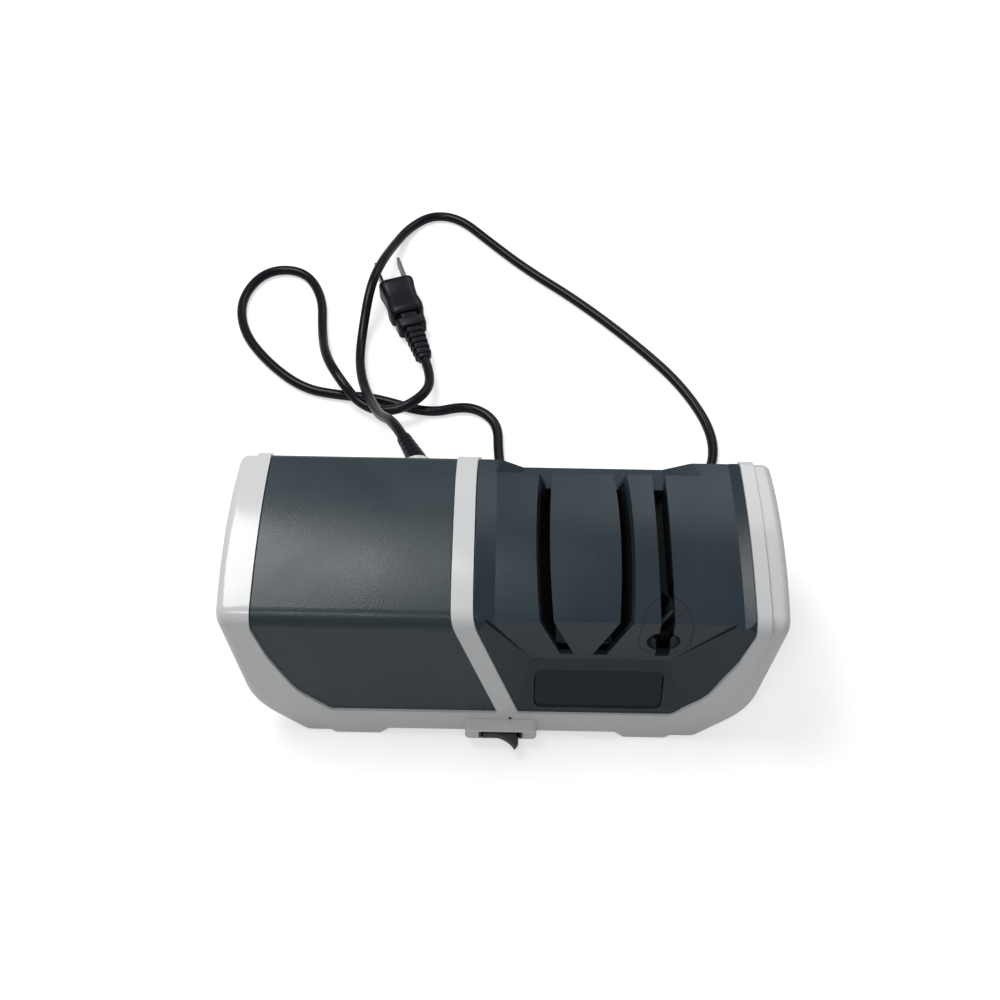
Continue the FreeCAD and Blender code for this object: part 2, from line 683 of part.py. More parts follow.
def make_centre_guide():
    """The inverted channel under the island: the inner walls of both coarse slots."""
    half = size("slot_width") / 2
    wall = size("guide_wall")
    foot = size("blade_depth")
    front = size("slope_foot_y") + size("cover_wall") + 1
    back = size("ledge_y") - size("cover_wall") - 1
    high = 90.0
    left = slanted_wall("left_slot_x", 1, half, half + wall, foot, high, front, back)
    right = slanted_wall("right_slot_x", -1, -half - wall, -half, foot, high, front, back)
    left_in = slot_x(size("left_slot_x"), 1, foot) + half
    right_in = slot_x(size("right_slot_x"), -1, foot) - half
    bridge = block(left_in - 12, front, foot, right_in + 12, back, high)
    between = end_prism([(left_in, foot, 0), (right_in, foot, 0),
                         (slot_x(size("right_slot_x"), -1, high) - half, high, 0),
                         (slot_x(size("left_slot_x"), 1, high) + half, high, 0)], front, back)
    lid = bridge.common(between).common(inner_room)
    lid = lid.cut(inner_room.translated(Vector(0, 0, -wall)))
    walls = left.fuse(right).common(inner_room)
    guide = lid.fuse(walls)
    wheel_room = rod(Vector(left_in - 3, size("axis_y"), size("axis_z")), Vector(1, 0, 0),
                     size("wheel_radius") + 1.2, right_in - left_in + 6)
    return guide.cut(wheel_room).removeSplitter()


def make_outer_guide(alias, tilt, side):
    """The outer wall of a coarse slot with the rest that stops the blade."""
    half = size("slot_width") / 2
    wall = size("guide_wall")
    front = size("slope_foot_y") + size("cover_wall") + 1
    back = size("ledge_y") - size("cover_wall") - 1
    foot = size("guide_foot")
    near, far = sorted((side * half, side * (half + wall)))
    plate = slanted_wall(alias, tilt, near, far, foot, 90.0, front, back)
    middle = slot_x(size(alias), tilt, foot)
    outer = middle + side * (half + wall)
    inner = middle - side * (half - 1.0)
    rest = block(min(outer, inner), front, foot, max(outer, inner), back, foot + wall)
    reach = size("wheel_radius") + 2.0
    gate = block(min(middle, inner) - 1, size("axis_y") - reach, foot - 1,
                 max(middle, inner) + 1, size("axis_y") + reach, foot + wall + 1)
    return plate.fuse(rest.cut(gate)).common(inner_room).removeSplitter()


def rod_block():
    """The front and the back of the block that the rods stand in."""
    margin = size("rod_radius") + 2
    return size("rod_front_y") - margin, size("rod_front_y") + size("rod_pitch") + margin


def make_fine_guide():
    """The trough under the fine slot, behind the rods' block."""
    x = size("fine_slot_x")
    half = size("slot_width") / 2
    wall = size("guide_wall")
    foot = size("blade_depth")
    front = rod_block()[1] + size("fit_gap")
    back = size("ledge_y") - size("cover_wall") - 1
    outer = block(x - half - wall, front, foot, x + half + wall, back, 90)
    inside = block(x - half, front - 1, foot + wall, x + half, back + 1, 90)
    return outer.cut(inside).common(inner_room)


feature("centre_guide", make_centre_guide())
feature("left_guide", make_outer_guide("left_slot_x", 1, -1))
feature("right_guide", make_outer_guide("right_slot_x", -1, 1))
feature("fine_guide", make_fine_guide())


# Ceramic rods of the fine slot, crossed one behind the other
def make_rod(lean, y):
    """One ceramic rod, leaning to a side."""
    angle = math.radians(size("rod_angle"))
    axis = Vector(lean * math.sin(angle), 0, math.cos(angle))
    middle = Vector(size("fine_slot_x"), y, size("rod_centre_z"))
    solid = rod(middle - axis * size("rod_length") / 2, axis, size("rod_radius"), size("rod_length"))
    return solid


def rod_rows():
    """The lean and the place along Y of each rod."""
    front = size("rod_front_y")
    return ((1, front), (-1, front + size("rod_pitch")))


def make_rod_holder():
    """The block under the fine slot that the rods stand in."""
    x = size("fine_slot_x")
    half = size("insert_width") / 2
    front, back = rod_block()
    top = size("rod_centre_z") - 1
    low = size("rod_centre_z") - size("rod_length") / 2 - 3
    holder = block(x - half, front, low, x + half, back, top)
    notch = size("slot_width") / 2
    holder = holder.cut(block(x - notch, front - 1, size("blade_depth"), x + notch, back + 1, top + 1))
    for lean, y in rod_rows():
        angle = math.radians(size("rod_angle"))
        axis = Vector(lean * math.sin(angle), 0, math.cos(angle))
        middle = Vector(x, y, size("rod_centre_z"))
        start = middle - axis * (size("rod_length") / 2 + 0.2)
        holder = holder.cut(rod(start, axis, size("rod_radius") + size("running_clearance"),
                              size("rod_length") * 3))
    foot = block(x - half, back - 0.1, low, x + half, back + size("holder_foot"), low + 3)
    return holder.fuse(foot).common(inner_room)


feature("rod_holder", make_rod_holder())
for name, (lean, y) in zip(("front_rod", "rear_rod"), rod_rows()):
    feature(name, make_rod(lean, y))


# Filings tray
def make_tray():
    """The drawer: a leaning front panel, a floor, two sides and a low lip at the back."""
    recess = size("tray_recess")
    panel_face = pocket_slab(recess, recess + size("tray_panel"))
    panel = panel_face.common(tray_window(0.0))
    wall = size("tray_wall")
    left = size("tray_left") + 2.5
    right = size("tray_right") - 2.5
    low = size("tray_foot") + 0.9
    back = size("tray_back")
    floor = block(left, pocket_y(low) + 1.0, low, right, back, low + wall)
    sides = [block(x, pocket_y(low) + 1.0, low, x + wall, back, size("tray_side_height"))
             for x in (left, right - wall)]
    lip = block(left, back - wall, low, right, back, size("tray_lip"))
    behind = pocket_slab(recess + 0.5, FAR)
    tray = panel
    for solid in [floor, lip] + sides:
        tray = tray.fuse(solid.common(behind))
    return tray.removeSplitter()


def pocket_y(height):
    """Where the leaning pocket plane lies at a height."""
    share = (height - size("pocket_foot_z")) / (size("slope_foot_z") - size("pocket_foot_z"))
    return size("pocket_foot_y") + share * (size("slope_foot_y") - size("pocket_foot_y"))


def pocket_slab(near, far):
    """A slab behind the pocket plane, between two depths along Y."""
    low = 0.0
    high = 60.0
    outline = [(pocket_y(low) + near, low, 0), (pocket_y(low) + far, low, 0),
               (pocket_y(high) + far, high, 0), (pocket_y(high) + near, high, 0)]
    return side_prism(outline, -FAR, FAR)


feature("filings_tray", make_tray())


# Base plate, feet and screws
def make_base_plate():
    """The plate that closes the housing, with wells, rails, vents and screw holes."""
    low = size("base_bottom")
    wall = size("base_wall")
    gap = size("fit_gap")
    inside = body_prism(size("frame_wall") + gap)
    inside = inside.common(end_prism(end_outline(size("frame_wall") + gap)))
    plate = inside.common(block(-FAR, -FAR, low, FAR, FAR, low + wall))
    hood_half = size("hood_half_width") + gap
    switch_back = front_y(0.0) - size("hood_reach") + size("switch_depth") + 1.0
    hood_back = front_y(size("hood_top"), size("frame_wall")) + gap
    plate = plate.cut(block(-hood_half, -FAR, 0, hood_half, hood_back, FAR))
    switch_half = size("switch_half_width") + gap
    plate = plate.cut(block(-switch_half, -FAR, 0, switch_half, switch_back, FAR))
    rail_top = size("tray_foot") + 0.9 - gap
    for x in (size("tray_left") + 8, size("tray_right") - 8):
        plate = plate.fuse(block(x - 1, -30, low + 0.5, x + 1, size("tray_back"), rail_top))
    for x, y in foot_places():
        plate = plate.cut(rod(Vector(x, y, 0), Vector(0, 0, 1), size("foot_stem_radius"), 20))
    for x, y in screw_places():
        plate = plate.cut(rod(Vector(x, y, 0), Vector(0, 0, 1), size("screw_radius") + 0.2, 20))
    vents = 7
    pitch = size("vent_width") * 2
    centre = (size("motor_left") + size("motor_right")) / 2
    for i in range(vents):
        x = centre + (i - vents // 2) * pitch * 1.6
        y = size("axis_y")
        slot = block(x - size("vent_width") / 2, y - size("vent_length") - 6, 0,
                     x + size("vent_width") / 2, y - 6 - size("cradle_width"), 20)
        plate = plate.cut(slot)
    return plate


def foot_places():
    """Where the rubber feet stand."""
    return [(side * size("foot_x"), y) for side in (-1, 1)
            for y in (size("foot_front_y"), size("foot_back_y"))]


feature("base_plate", make_base_plate())
for name, side, y_cell in (("left_front_foot", "-", "foot_front_y"),
                           ("left_back_foot", "-", "foot_back_y"),
                           ("right_front_foot", "", "foot_front_y"),
                           ("right_back_foot", "", "foot_back_y")):
    edge = "sizes.foot_radius"
    stem = "sizes.foot_stem_radius - sizes.running_clearance"
    top = "sizes.base_bottom"
    keep(turned(name, [("0", "0"), (edge + " - 1", "0"), (edge, "1"), (edge, top), (stem, top),
                       (stem, top + " + sizes.base_wall + 1"), ("0", top + " + sizes.base_wall + 1")],
                ("%ssizes.foot_x" % side, "sizes." + y_cell, "0"), "V_Axis"))


def make_base_screws():
    """The four screws that hold the base plate to the bosses."""
    solids = []
    low = size("base_bottom")
    for x, y in screw_places():
        shank = rod(Vector(x, y, low - 0.2), Vector(0, 0, 1), size("screw_radius") - 0.3,
                    size("boss_height") - low - 2.0)
        head = Part.makeCone(size("screw_head_radius") - 0.6, size("screw_head_radius"), 1.6,
                             Vector(x, y, low - 1.7))
        solids.append(shank.fuse(head))
    return Part.makeCompound(solids)


feature("base_screws", make_base_screws())


# Motor, axis along X
def ring(label, left, right, inner, outer):
    """A tube along the motor's axis."""
    return keep(turned(label, [(left, inner), (right, inner), (right, outer), (left, outer)]))


SPIN = "sizes.shaft_radius"
FREE = "sizes.shaft_radius + sizes.running_clearance"
ring("motor_can", "sizes.motor_left", "sizes.motor_right", "sizes.can_radius - sizes.can_wall",
     "sizes.can_radius")
bell_inner = "sizes.can_radius - sizes.can_wall - 0.05"
seat = "sizes.bush_radius"
for name, face, step in (("rear_bell", "sizes.motor_left", "+"), ("front_bell", "sizes.motor_right", "-")):
    inside = face + " %s sizes.bell_width" % step
    outside = face + " %s -3" % step
    keep(turned(name, [(outside, seat), (outside, seat + " + 3"), (face, seat + " + 3"), (face, bell_inner),
                       (inside, bell_inner), (inside, bell_inner + " - 2"),
                       (face + " %s 2" % step, bell_inner + " - 2"), (face + " %s 2" % step, seat + " + 3"),
                       (inside, seat + " + 3"), (inside, seat)]))
ring("rear_bush", "sizes.motor_left - 2.5", "sizes.motor_left - 2.5 + sizes.bush_length", FREE,
     seat + " - 0.02")
ring("front_bush", "sizes.motor_right + 2.5 - sizes.bush_length", "sizes.motor_right + 2.5", FREE,
     seat + " - 0.02")


def make_magnets():
    """The two curved field magnets inside the can."""
    outer = size("can_radius") - size("can_wall") - 0.05
    inner = outer - size("magnet_wall")
    left = size("core_left") - 2
    length = size("core_right") - size("core_left") + 4
    centre = Vector(left, size("axis_y"), size("axis_z"))
    axis = Vector(1, 0, 0)
    ring_shape = rod(centre, axis, outer, length).cut(rod(centre, axis, inner, length))
    split = size("shaft_radius") * 2
    return ring_shape.cut(block(left - 1, -FAR, size("axis_z") - split, left + length + 1, FAR,
                                size("axis_z") + split))


feature("field_magnets", make_magnets())
SHAFT_STEP = "sizes.shaft_radius"
shaft_corners = [("sizes.shaft_left", "0"), ("sizes.shaft_right", "0"),
                 ("sizes.shaft_right", SHAFT_STEP + " - 0.5"), ("sizes.shaft_right - 0.5", SHAFT_STEP),
                 ("sizes.shaft_left + 0.5", SHAFT_STEP), ("sizes.shaft_left", SHAFT_STEP + " - 0.5")]
keep(turned("motor_shaft", shaft_corners))


def make_core():
    """The armature's laminated core with its winding slots."""
    left = size("core_left")
    length = size("core_right") - left
    axis = Vector(1, 0, 0)
    centre = Vector(left, size("axis_y"), size("axis_z"))
    core = rod(centre, axis, size("core_radius"), length)
    core = core.cut(rod(centre, axis, size("shaft_radius"), length))
    teeth = int(size("core_teeth"))
    for i in range(teeth):
        slot = block(left - 1, size("axis_y") - 1.6, size("axis_z") + size("core_radius") - 5.5,
                     left + length + 1, size("axis_y") + 1.6, size("axis_z") + size("core_radius") + 2)
        slot.rotate(centre, axis, 360.0 * i / teeth)
        core = core.cut(slot)
    return core


feature("armature_core", make_core())
ring("left_winding", "sizes.core_left - sizes.winding_length", "sizes.core_left", SPIN,
     "sizes.winding_radius")
ring("right_winding", "sizes.core_right", "sizes.core_right + sizes.winding_length", SPIN,
     "sizes.winding_radius")
commutator_left = "sizes.core_right + sizes.winding_length"
ring("commutator", commutator_left, commutator_left + " + sizes.commutator_length", SPIN,
     "sizes.commutator_radius")


def make_brushes():
    """The two carbon brushes that press on the commutator."""
    side = size("brush_side")
    middle = size("core_right") + size("winding_length") + size("commutator_length") / 2
    start = size("commutator_radius") + size("fit_gap")
    solids = []
    for turn in (-1, 1):
        stop = start + size("brush_length")
        y0, y1 = sorted((size("axis_y") + turn * start, size("axis_y") + turn * stop))
        solids.append(block(middle - side / 2, y0, size("axis_z") - side / 2,
                            middle + side / 2, y1, size("axis_z") + side / 2))
    return Part.makeCompound(solids)


def make_brush_holders():
    """The two boxes that carry the brushes, fixed to the can's wall."""
    side = size("brush_side") + 0.4
    middle = size("core_right") + size("winding_length") + size("commutator_length") / 2
    start = size("commutator_radius") + 1.6
    stop = size("can_radius") - size("can_wall") - 0.3
    solids = []
    for turn in (-1, 1):
        y0, y1 = sorted((size("axis_y") + turn * start, size("axis_y") + turn * stop))
        outer = block(middle - side / 2 - 1.2, y0, size("axis_z") - side / 2 - 1.2,
                      middle + side / 2 + 1.2, y1, size("axis_z") + side / 2 + 1.2)
        solids.append(outer.cut(block(middle - side / 2, y0 - 1, size("axis_z") - side / 2,
                                      middle + side / 2, y1 + 1, size("axis_z") + side / 2)))
    return Part.makeCompound(solids)


feature("carbon_brushes", make_brushes())
feature("brush_holders", make_brush_holders())


def make_fan():
    """The cooling fan: a hub, a back disc and its blades."""
    left = size("fan_left")
    axis = Vector(1, 0, 0)
    centre = Vector(left, size("axis_y"), size("axis_z"))
    hub = rod(centre, axis, size("fan_hub_radius"), size("fan_width"))
    disc = rod(centre, axis, size("fan_radius"), 1.6)
    fan = hub.fuse(disc)
    count = int(size("fan_blades"))
    for i in range(count):
        root = size("axis_z") + size("fan_hub_radius") - 1
        tip = size("axis_z") + size("fan_radius") - 0.6
        blade = block(left + 0.8, size("axis_y") - 0.8, root,
                      left + size("fan_width"), size("axis_y") + 0.8, tip)
        blade.rotate(centre, axis, 360.0 * i / count)
        fan = fan.fuse(blade)
    return fan.cut(rod(centre, axis, size("shaft_radius"), size("fan_width"))).removeSplitter()


feature("cooling_fan", make_fan())

# Grinding wheels on the shaft
LEAN = "tan(sizes.slot_angle) * (sizes.crown_z - sizes.blade_depth)"
LEFT_START = "sizes.left_slot_x + %s + sizes.slot_width / 2 + sizes.wheel_clearance" % LEAN
RIGHT_END = "sizes.right_slot_x - %s - sizes.slot_width / 2 - sizes.wheel_clearance" % LEAN
WHEEL = "sizes.wheel_radius"
HUB = "sizes.wheel_hub_radius"
for name, left, right in (("left_wheel", LEFT_START, LEFT_START + " + sizes.wheel_width"),
                          ("right_wheel", RIGHT_END + " - sizes.wheel_width", RIGHT_END)):
    keep(turned(name, [(left, SPIN), (right, SPIN), (right, WHEEL + " - 0.6"), (right + " - 0.6", WHEEL),
                       (left + " + 0.6", WHEEL), (left, WHEEL + " - 0.6")]))
ring("wheel_spacer", LEFT_START + " + sizes.wheel_width", RIGHT_END + " - sizes.wheel_width", SPIN, HUB)
ring("wheel_collar", LEFT_START + " - 3", LEFT_START, SPIN, HUB)
right_wheel_end = (slot_x(size("right_slot_x"), -1, size("blade_depth")) - size("slot_width") / 2
                   - size("wheel_clearance"))


def make_wheel_nut():
    """The hexagon nut that clamps the wheels."""
    across = size("nut_across") / 2 / math.cos(math.pi / 6)
    ring_points = [Vector(right_wheel_end, size("axis_y") + across * math.cos(math.pi / 3 * i),
                          size("axis_z") + across * math.sin(math.pi / 3 * i)) for i in range(7)]
    nut = Part.Face(Part.makePolygon(ring_points)).extrude(Vector(size("nut_width"), 0, 0))
    centre = Vector(right_wheel_end, size("axis_y"), size("axis_z"))
    return nut.cut(rod(centre, Vector(1, 0, 0), size("shaft_radius"), size("nut_width")))


feature("wheel_nut", make_wheel_nut())


# Bulkhead, its bearing, and the motor's cradle
def make_bulkhead():
    """The wall between the motor and the grinding chamber."""
    left = size("bulkhead_left")
    wall = size("bulkhead_wall")
    inset = size("frame_wall") + size("seam_gap") * 2 + size("flange_wall") + 0.2
    floor = size("base_bottom") + size("base_wall") + size("fit_gap")
    plate = body_prism(inset).common(block(left, -FAR, floor, left + wall, FAR, 90))
    plate = plate.cut(block(left - 1, -FAR, 0, left + wall + 1, front_y(0) + 24, 24))
    plate = plate.common(eroded(form_whole, size("cover_wall") + size("fit_gap") * 3))
    collar = rod(Vector(left - 2, size("axis_y"), size("axis_z")), Vector(1, 0, 0),
                 size("bearing_radius") + 2.5, size("bearing_width") + 1)
    plate = plate.fuse(collar)
    seat_tool = rod(Vector(left - 3, size("axis_y"), size("axis_z")), Vector(1, 0, 0),
                    size("bearing_radius"), size("bearing_width") + 8)
    return plate.cut(seat_tool)


feature("bulkhead", make_bulkhead())
ring("spindle_bearing", "sizes.bulkhead_left - 2", "sizes.bulkhead_left - 2 + sizes.bearing_width", FREE,
     "sizes.bearing_radius - 0.02")


def make_cradle():
    """The saddle block that carries the motor on the base."""
    low = size("base_bottom") + size("base_wall")
    top = size("axis_z") - 6
    half = size("cradle_half")
    solid = block(size("motor_left") + 4, size("axis_y") - half, low, size("motor_right") - 4,
                  size("axis_y") + half, low + 3)
    for x in (size("motor_left") + 4, size("motor_right") - 4 - size("cradle_width")):
        solid = solid.fuse(block(x, size("axis_y") - half, low, x + size("cradle_width"),
                                 size("axis_y") + half, top))
    centre = Vector(size("motor_left"), size("axis_y"), size("axis_z"))
    return solid.cut(rod(centre, Vector(1, 0, 0), size("can_radius"), FAR)).removeSplitter()


def make_strap():
    """The steel strap over the motor, with an ear on each side of the cradle."""
    x = size("motor_left") + 4
    width = size("cradle_width")
    radius = size("can_radius")
    centre = Vector(x, size("axis_y"), size("axis_z"))
    axis = Vector(1, 0, 0)
    wall = size("strap_wall")
    band = rod(centre, axis, radius + wall, width).cut(rod(centre, axis, radius, width))
    return band.common(block(x - 1, -FAR, size("axis_z") - 6, x + width + 1, FAR, FAR))


feature("motor_cradle", make_cradle())
feature("motor_strap", make_strap())


# Rocker switch: the body behind the hood, its terminals and the rocker
def make_switch_body():
    """The switch's body, through the hood's opening into the housing."""
    half = size("switch_half_width")
    tall = size("rocker_half_height")
    middle = hood_middle()
    front = front_y(0.0) - size("hood_reach") + 0.4
    body = block(-half, front, middle - tall, half, front + size("switch_depth"), middle + tall)
    mouth = block(-size("rocker_half_width") - 0.7, front - 1, middle - tall + 0.5,
                  size("rocker_half_width") + 0.7, front + 7.5, middle + tall - 0.5)
    return body.cut(mouth)


def make_terminals():
    """The two blade terminals at the back of the switch."""
    front = front_y(0.0) - size("hood_reach") + 0.4 + size("switch_depth")
    middle = hood_middle()
    return Part.makeCompound([block(x - 2.4, front, middle - 0.4, x + 2.4, front + 8, middle + 0.4)
                              for x in (-5.0, 5.0)])


def make_rocker():
    """The rocker: a hollow-faced lever whose right end stands out."""
    half = size("rocker_half_width")
    face = front_y(0.0) - size("hood_reach")
    middle = hood_middle()
    tall = size("rocker_half_height") - 0.8
    left = Vector(-half, face - 0.6, middle - tall)
    right = Vector(half - 1.6, face - size("rocker_proud"), middle - tall)
    tip = Vector(half, face - size("rocker_proud") + 2.2, middle - tall)
    hollow = Vector(0.0, face - 1.0, middle - tall)
    root_right = Vector(half - 1.2, face + 4.4, middle - tall)
    root_left = Vector(-half + 1.2, face + 4.4, middle - tall)
    edges = [Part.Arc(left, hollow, right).toShape(), Part.LineSegment(right, tip).toShape(),
             Part.LineSegment(tip, root_right).toShape(),
             Part.LineSegment(root_right, root_left).toShape(), Part.LineSegment(root_left, left).toShape()]
    return Part.Face(Part.Wire(edges)).extrude(Vector(0, 0, 2 * tall))


feature("switch_body", make_switch_body())
feature("switch_terminals", make_terminals())
feature("rocker", make_rocker())


# Cord: the relief at the boss, the free lead, and the plug
relief_axis = Vector(-0.42, 0.88, -0.22).normalize()
relief_start = Vector(size("exit_x"), size("exit_reach"), size("exit_z"))
relief_end = relief_start + relief_axis * size("relief_length")
RADIUS = size("cord_width") / 2


def make_relief():
    """The tapered relief out of the boss, with its flange inside the wall."""
    root = size("relief_root")
    cone = Part.makeCone(root, size("relief_tip"), size("relief_length"), relief_start, relief_axis)
    knuckle = Part.makeSphere(root, relief_start)
    flange_wall = size("flange_wall")
    inner = Vector(size("exit_x"), boss_start() - size("fit_gap") - flange_wall, size("exit_z"))
    stub = rod(inner, Vector(0, 1, 0), root, relief_start.y - inner.y)
    flange = rod(inner, Vector(0, 1, 0), root + size("cord_width") / 2, flange_wall)
    return cone.fuse(knuckle).fuse(stub).fuse(flange).removeSplitter()


# The lead's route on the table behind the housing
ROUTE = [
    (-59.5, 97.0, 34.0), (-64.5, 112.5, 21.5), (-70.0, 128.0, 13.5), (-74.0, 143.0, 8.5),
    (-76.3, 160.0, 3.5), (-75.6, 177.0, 6.0), (-72.7, 196.0, 16.0), (-68.5, 213.0, 16.5),
    (-62.8, 236.0, 8.0), (-55.5, 255.5, 2.5), (-43.0, 266.0, 2.5), (-27.0, 263.5, 2.5),
    (-10.0, 245.5, 2.5), (11.0, 224.5, 2.5), (38.0, 202.5, 2.5), (68.0, 172.5, 2.5),
    (92.0, 143.5, 2.5), (106.0, 111.0, 2.5), (100.0, 84.0, 2.5), (76.0, 72.5, 2.5),
    (48.0, 71.0, 2.5), (20.0, 71.5, 2.5), (-1.0, 82.0, 2.5), (-3.2, 100.0, 2.5),
    (-3.5, 116.0, 2.5), (-10.5, 125.0, 2.5), (-21.5, 128.6, 2.5), (-39.0, 123.2, 2.5),
    (-66.0, 132.8, 2.5), (-84.0, 134.0, 2.5), (-104.0, 138.0, 2.5), (-124.0, 155.0, 2.5),
    (-139.5, 176.0, 2.5), (-143.5, 200.0, 2.5), (-132.0, 221.0, 2.5), (-111.0, 221.0, 2.5),
    (-99.5, 202.0, 2.5), (-97.5, 176.0, 2.5), (-93.0, 154.0, 9.5), (-84.5, 137.0, 13.0),
    (-73.0, 124.5, 6.0), (-56.5, 117.8, 9.5), (-41.0, 127.0, 12.0),
]
plug_tip = Vector(-60.0, 206.0, size("plug_height") / 2)
plug_root = Vector(-42.0, 155.0, size("plug_height") / 2)


def soft_path(points):
    """Straight runs joined by tangent arcs, as large as the shorter run allows."""
    edges = []
    start = points[0]
    radii = []
    for i in range(1, len(points) - 1):
        back = (points[i - 1] - points[i])
        ahead = (points[i + 1] - points[i])
        reach = 0.45 * min(back.Length, ahead.Length)
        back.normalize()
        ahead.normalize()
        turn = math.pi - back.getAngle(ahead)
        radius = reach / math.tan(turn / 2)
        middle = (back + ahead).normalize() * (radius / math.cos(turn / 2) - radius)
        entry = points[i] + back * reach
        leave = points[i] + ahead * reach
        edges.append(Part.LineSegment(start, entry).toShape())
        edges.append(Part.Arc(entry, points[i] + middle, leave).toShape())
        radii.append(radius)
        start = leave
    edges.append(Part.LineSegment(start, points[-1]).toShape())
    return Part.Wire(edges), radii


plug_axis = (plug_tip - plug_root).normalize()
straight = 13.0
route = [relief_end, relief_end + relief_axis * straight] + [Vector(*point) for point in ROUTE]
route += [plug_root - plug_axis * straight, plug_root]
path, radii = soft_path(route)
section = Part.Wire([Part.Circle(route[0], relief_axis, RADIUS).toShape()])
tube = path.makePipeShell([section], True, True)
print("cord length", round(path.Length, 1), "least radius", round(min(radii), 1),
      "at", radii.index(min(radii)) + 1, "volume ratio",
      round(tube.Volume / (path.Length * math.pi * RADIUS ** 2), 4))
print("radii", [round(radius) for radius in radii])


def make_plug():
    """The plug: a ribbed relief, a waist and a head, lying along the lead's end."""
    side = plug_axis.cross(Vector(0, 0, 1)).normalize()
    up = Vector(0, 0, 1)

    def section_at(distance, width, height, radius):
        centre = plug_root + plug_axis * distance
        corners = [centre + side * a * width / 2 + up * b * height / 2
                   for a, b in ((-1, -1), (1, -1), (1, 1), (-1, 1))]
        return rounded_wire([(corner, radius) for corner in corners])

    total = (plug_tip - plug_root).Length
    head = total - size("plug_length")
    neck = head - 8.0
    wide = size("plug_width")
    tall = size("plug_height")
    profiles = [section_at(0, 6.4, 6.4, 2.0), section_at(neck, 8.4, 7.6, 2.2),
                section_at(head, size("plug_waist"), tall - 4, 2.6),
                section_at(head + 5, wide - 1, tall - 0.8, 3.0), section_at(total, wide, tall, 3.4)]
    plug = Part.makeLoft(profiles[:2], True, True)
    for i in range(1, len(profiles) - 1):
        plug = plug.fuse(Part.makeLoft(profiles[i:i + 2], True, True))
    for i in range(4):
        start = 4 + i * 4.4
        groove = Part.makeLoft([section_at(start, 20, 20, 1), section_at(start + 1.6, 20, 20, 1)], True, True)
        core = Part.makeLoft([section_at(start - 1, 5.4, 5.4, 1.6),
                              section_at(start + 3, 5.6, 5.6, 1.6)], True, True)
        plug = plug.cut(groove.cut(core))
    return plug


def make_prongs():
    """The two flat prongs of the plug."""
    side = plug_axis.cross(Vector(0, 0, 1)).normalize()
    solids = []
    for turn in (-1, 1):
        centre = plug_tip + side * turn * size("prong_pitch") / 2
        corners = [centre + side * a * size("prong_thick") / 2 + Vector(0, 0, b * size("prong_width") / 2)
                   for a, b in ((-1, -1), (1, -1), (1, 1), (-1, 1), (-1, -1))]
        blade = Part.Face(Part.makePolygon(corners)).extrude(plug_axis * size("prong_length"))
        solids.append(blade)
    return Part.makeCompound(solids)


feature("cord_relief", make_relief())
feature("cord", tube)
feature("plug_body", make_plug())
feature("plug_prongs", make_prongs())

doc.recompute()
bad = [item.Label for item in doc.Objects if {"Invalid", "Error"} & set(item.State)]
bad += [item.Label for item in parts if item.Shape.isNull() or not item.Shape.isValid()]
if bad:
    raise RuntimeError("not valid: %s" % ", ".join(sorted(set(bad))))
os.makedirs("parts", exist_ok=True)
for item in parts:
    item.Shape.exportStep("parts/%s.step" % item.Label)
box = Part.makeCompound([item.Shape for item in parts
                         if item.Label not in ("cord", "plug_body", "plug_prongs")]).BoundBox
print(len(parts), "sub-parts; without the lead X %.2f %.2f Y %.2f %.2f Z %.2f %.2f"
      % (box.XMin, box.XMax, box.YMin, box.YMax, box.ZMin, box.ZMax))
for item in parts:
    print("%-18s %d solids %9.0f mm3" % (item.Label, len(item.Shape.Solids), item.Shape.Volume))
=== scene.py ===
"""Looks of a free-standing electric knife sharpener: housing, guide half, switch and lead."""

import json
import logging
import math
from dataclasses import dataclass, field
from enum import Enum
from typing import ClassVar

import bmesh
import bpy
from mathutils import Matrix, Vector

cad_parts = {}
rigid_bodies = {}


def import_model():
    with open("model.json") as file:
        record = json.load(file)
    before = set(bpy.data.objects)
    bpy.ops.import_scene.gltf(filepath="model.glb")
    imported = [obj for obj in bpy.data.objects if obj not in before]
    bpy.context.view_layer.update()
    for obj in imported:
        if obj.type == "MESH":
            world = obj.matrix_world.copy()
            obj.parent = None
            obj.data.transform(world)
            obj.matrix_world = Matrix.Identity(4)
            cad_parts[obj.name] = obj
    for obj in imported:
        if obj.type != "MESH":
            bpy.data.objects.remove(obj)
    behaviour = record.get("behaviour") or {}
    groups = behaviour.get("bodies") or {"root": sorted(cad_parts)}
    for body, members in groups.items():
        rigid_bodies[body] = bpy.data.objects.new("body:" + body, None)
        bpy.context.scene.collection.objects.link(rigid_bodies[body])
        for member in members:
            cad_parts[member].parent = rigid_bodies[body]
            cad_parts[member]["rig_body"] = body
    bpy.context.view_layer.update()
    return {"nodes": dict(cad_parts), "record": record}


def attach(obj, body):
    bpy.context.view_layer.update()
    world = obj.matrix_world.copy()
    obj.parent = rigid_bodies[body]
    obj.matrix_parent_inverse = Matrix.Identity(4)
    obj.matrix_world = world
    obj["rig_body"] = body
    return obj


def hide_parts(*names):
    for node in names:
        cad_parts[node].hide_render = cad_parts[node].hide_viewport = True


LOG = logging.getLogger("knife_sharpener")
MM = 0.001
UP = Vector((0, 0, 1))
Colour = tuple[float, float, float]
Point = tuple[float, float, float]
Step = tuple[float, float, float]

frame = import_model()


class Grain(Enum):
    """How a finish is broken up: the scale of its grain per metre and its depth in metres."""

    SMOOTH = (900.0, 0.00001)
    SATIN = (2600.0, 0.00003)
    LEATHERY = (1500.0, 0.00006)
    GRIT = (4200.0, 0.00022)
    CAST = (1200.0, 0.00012)


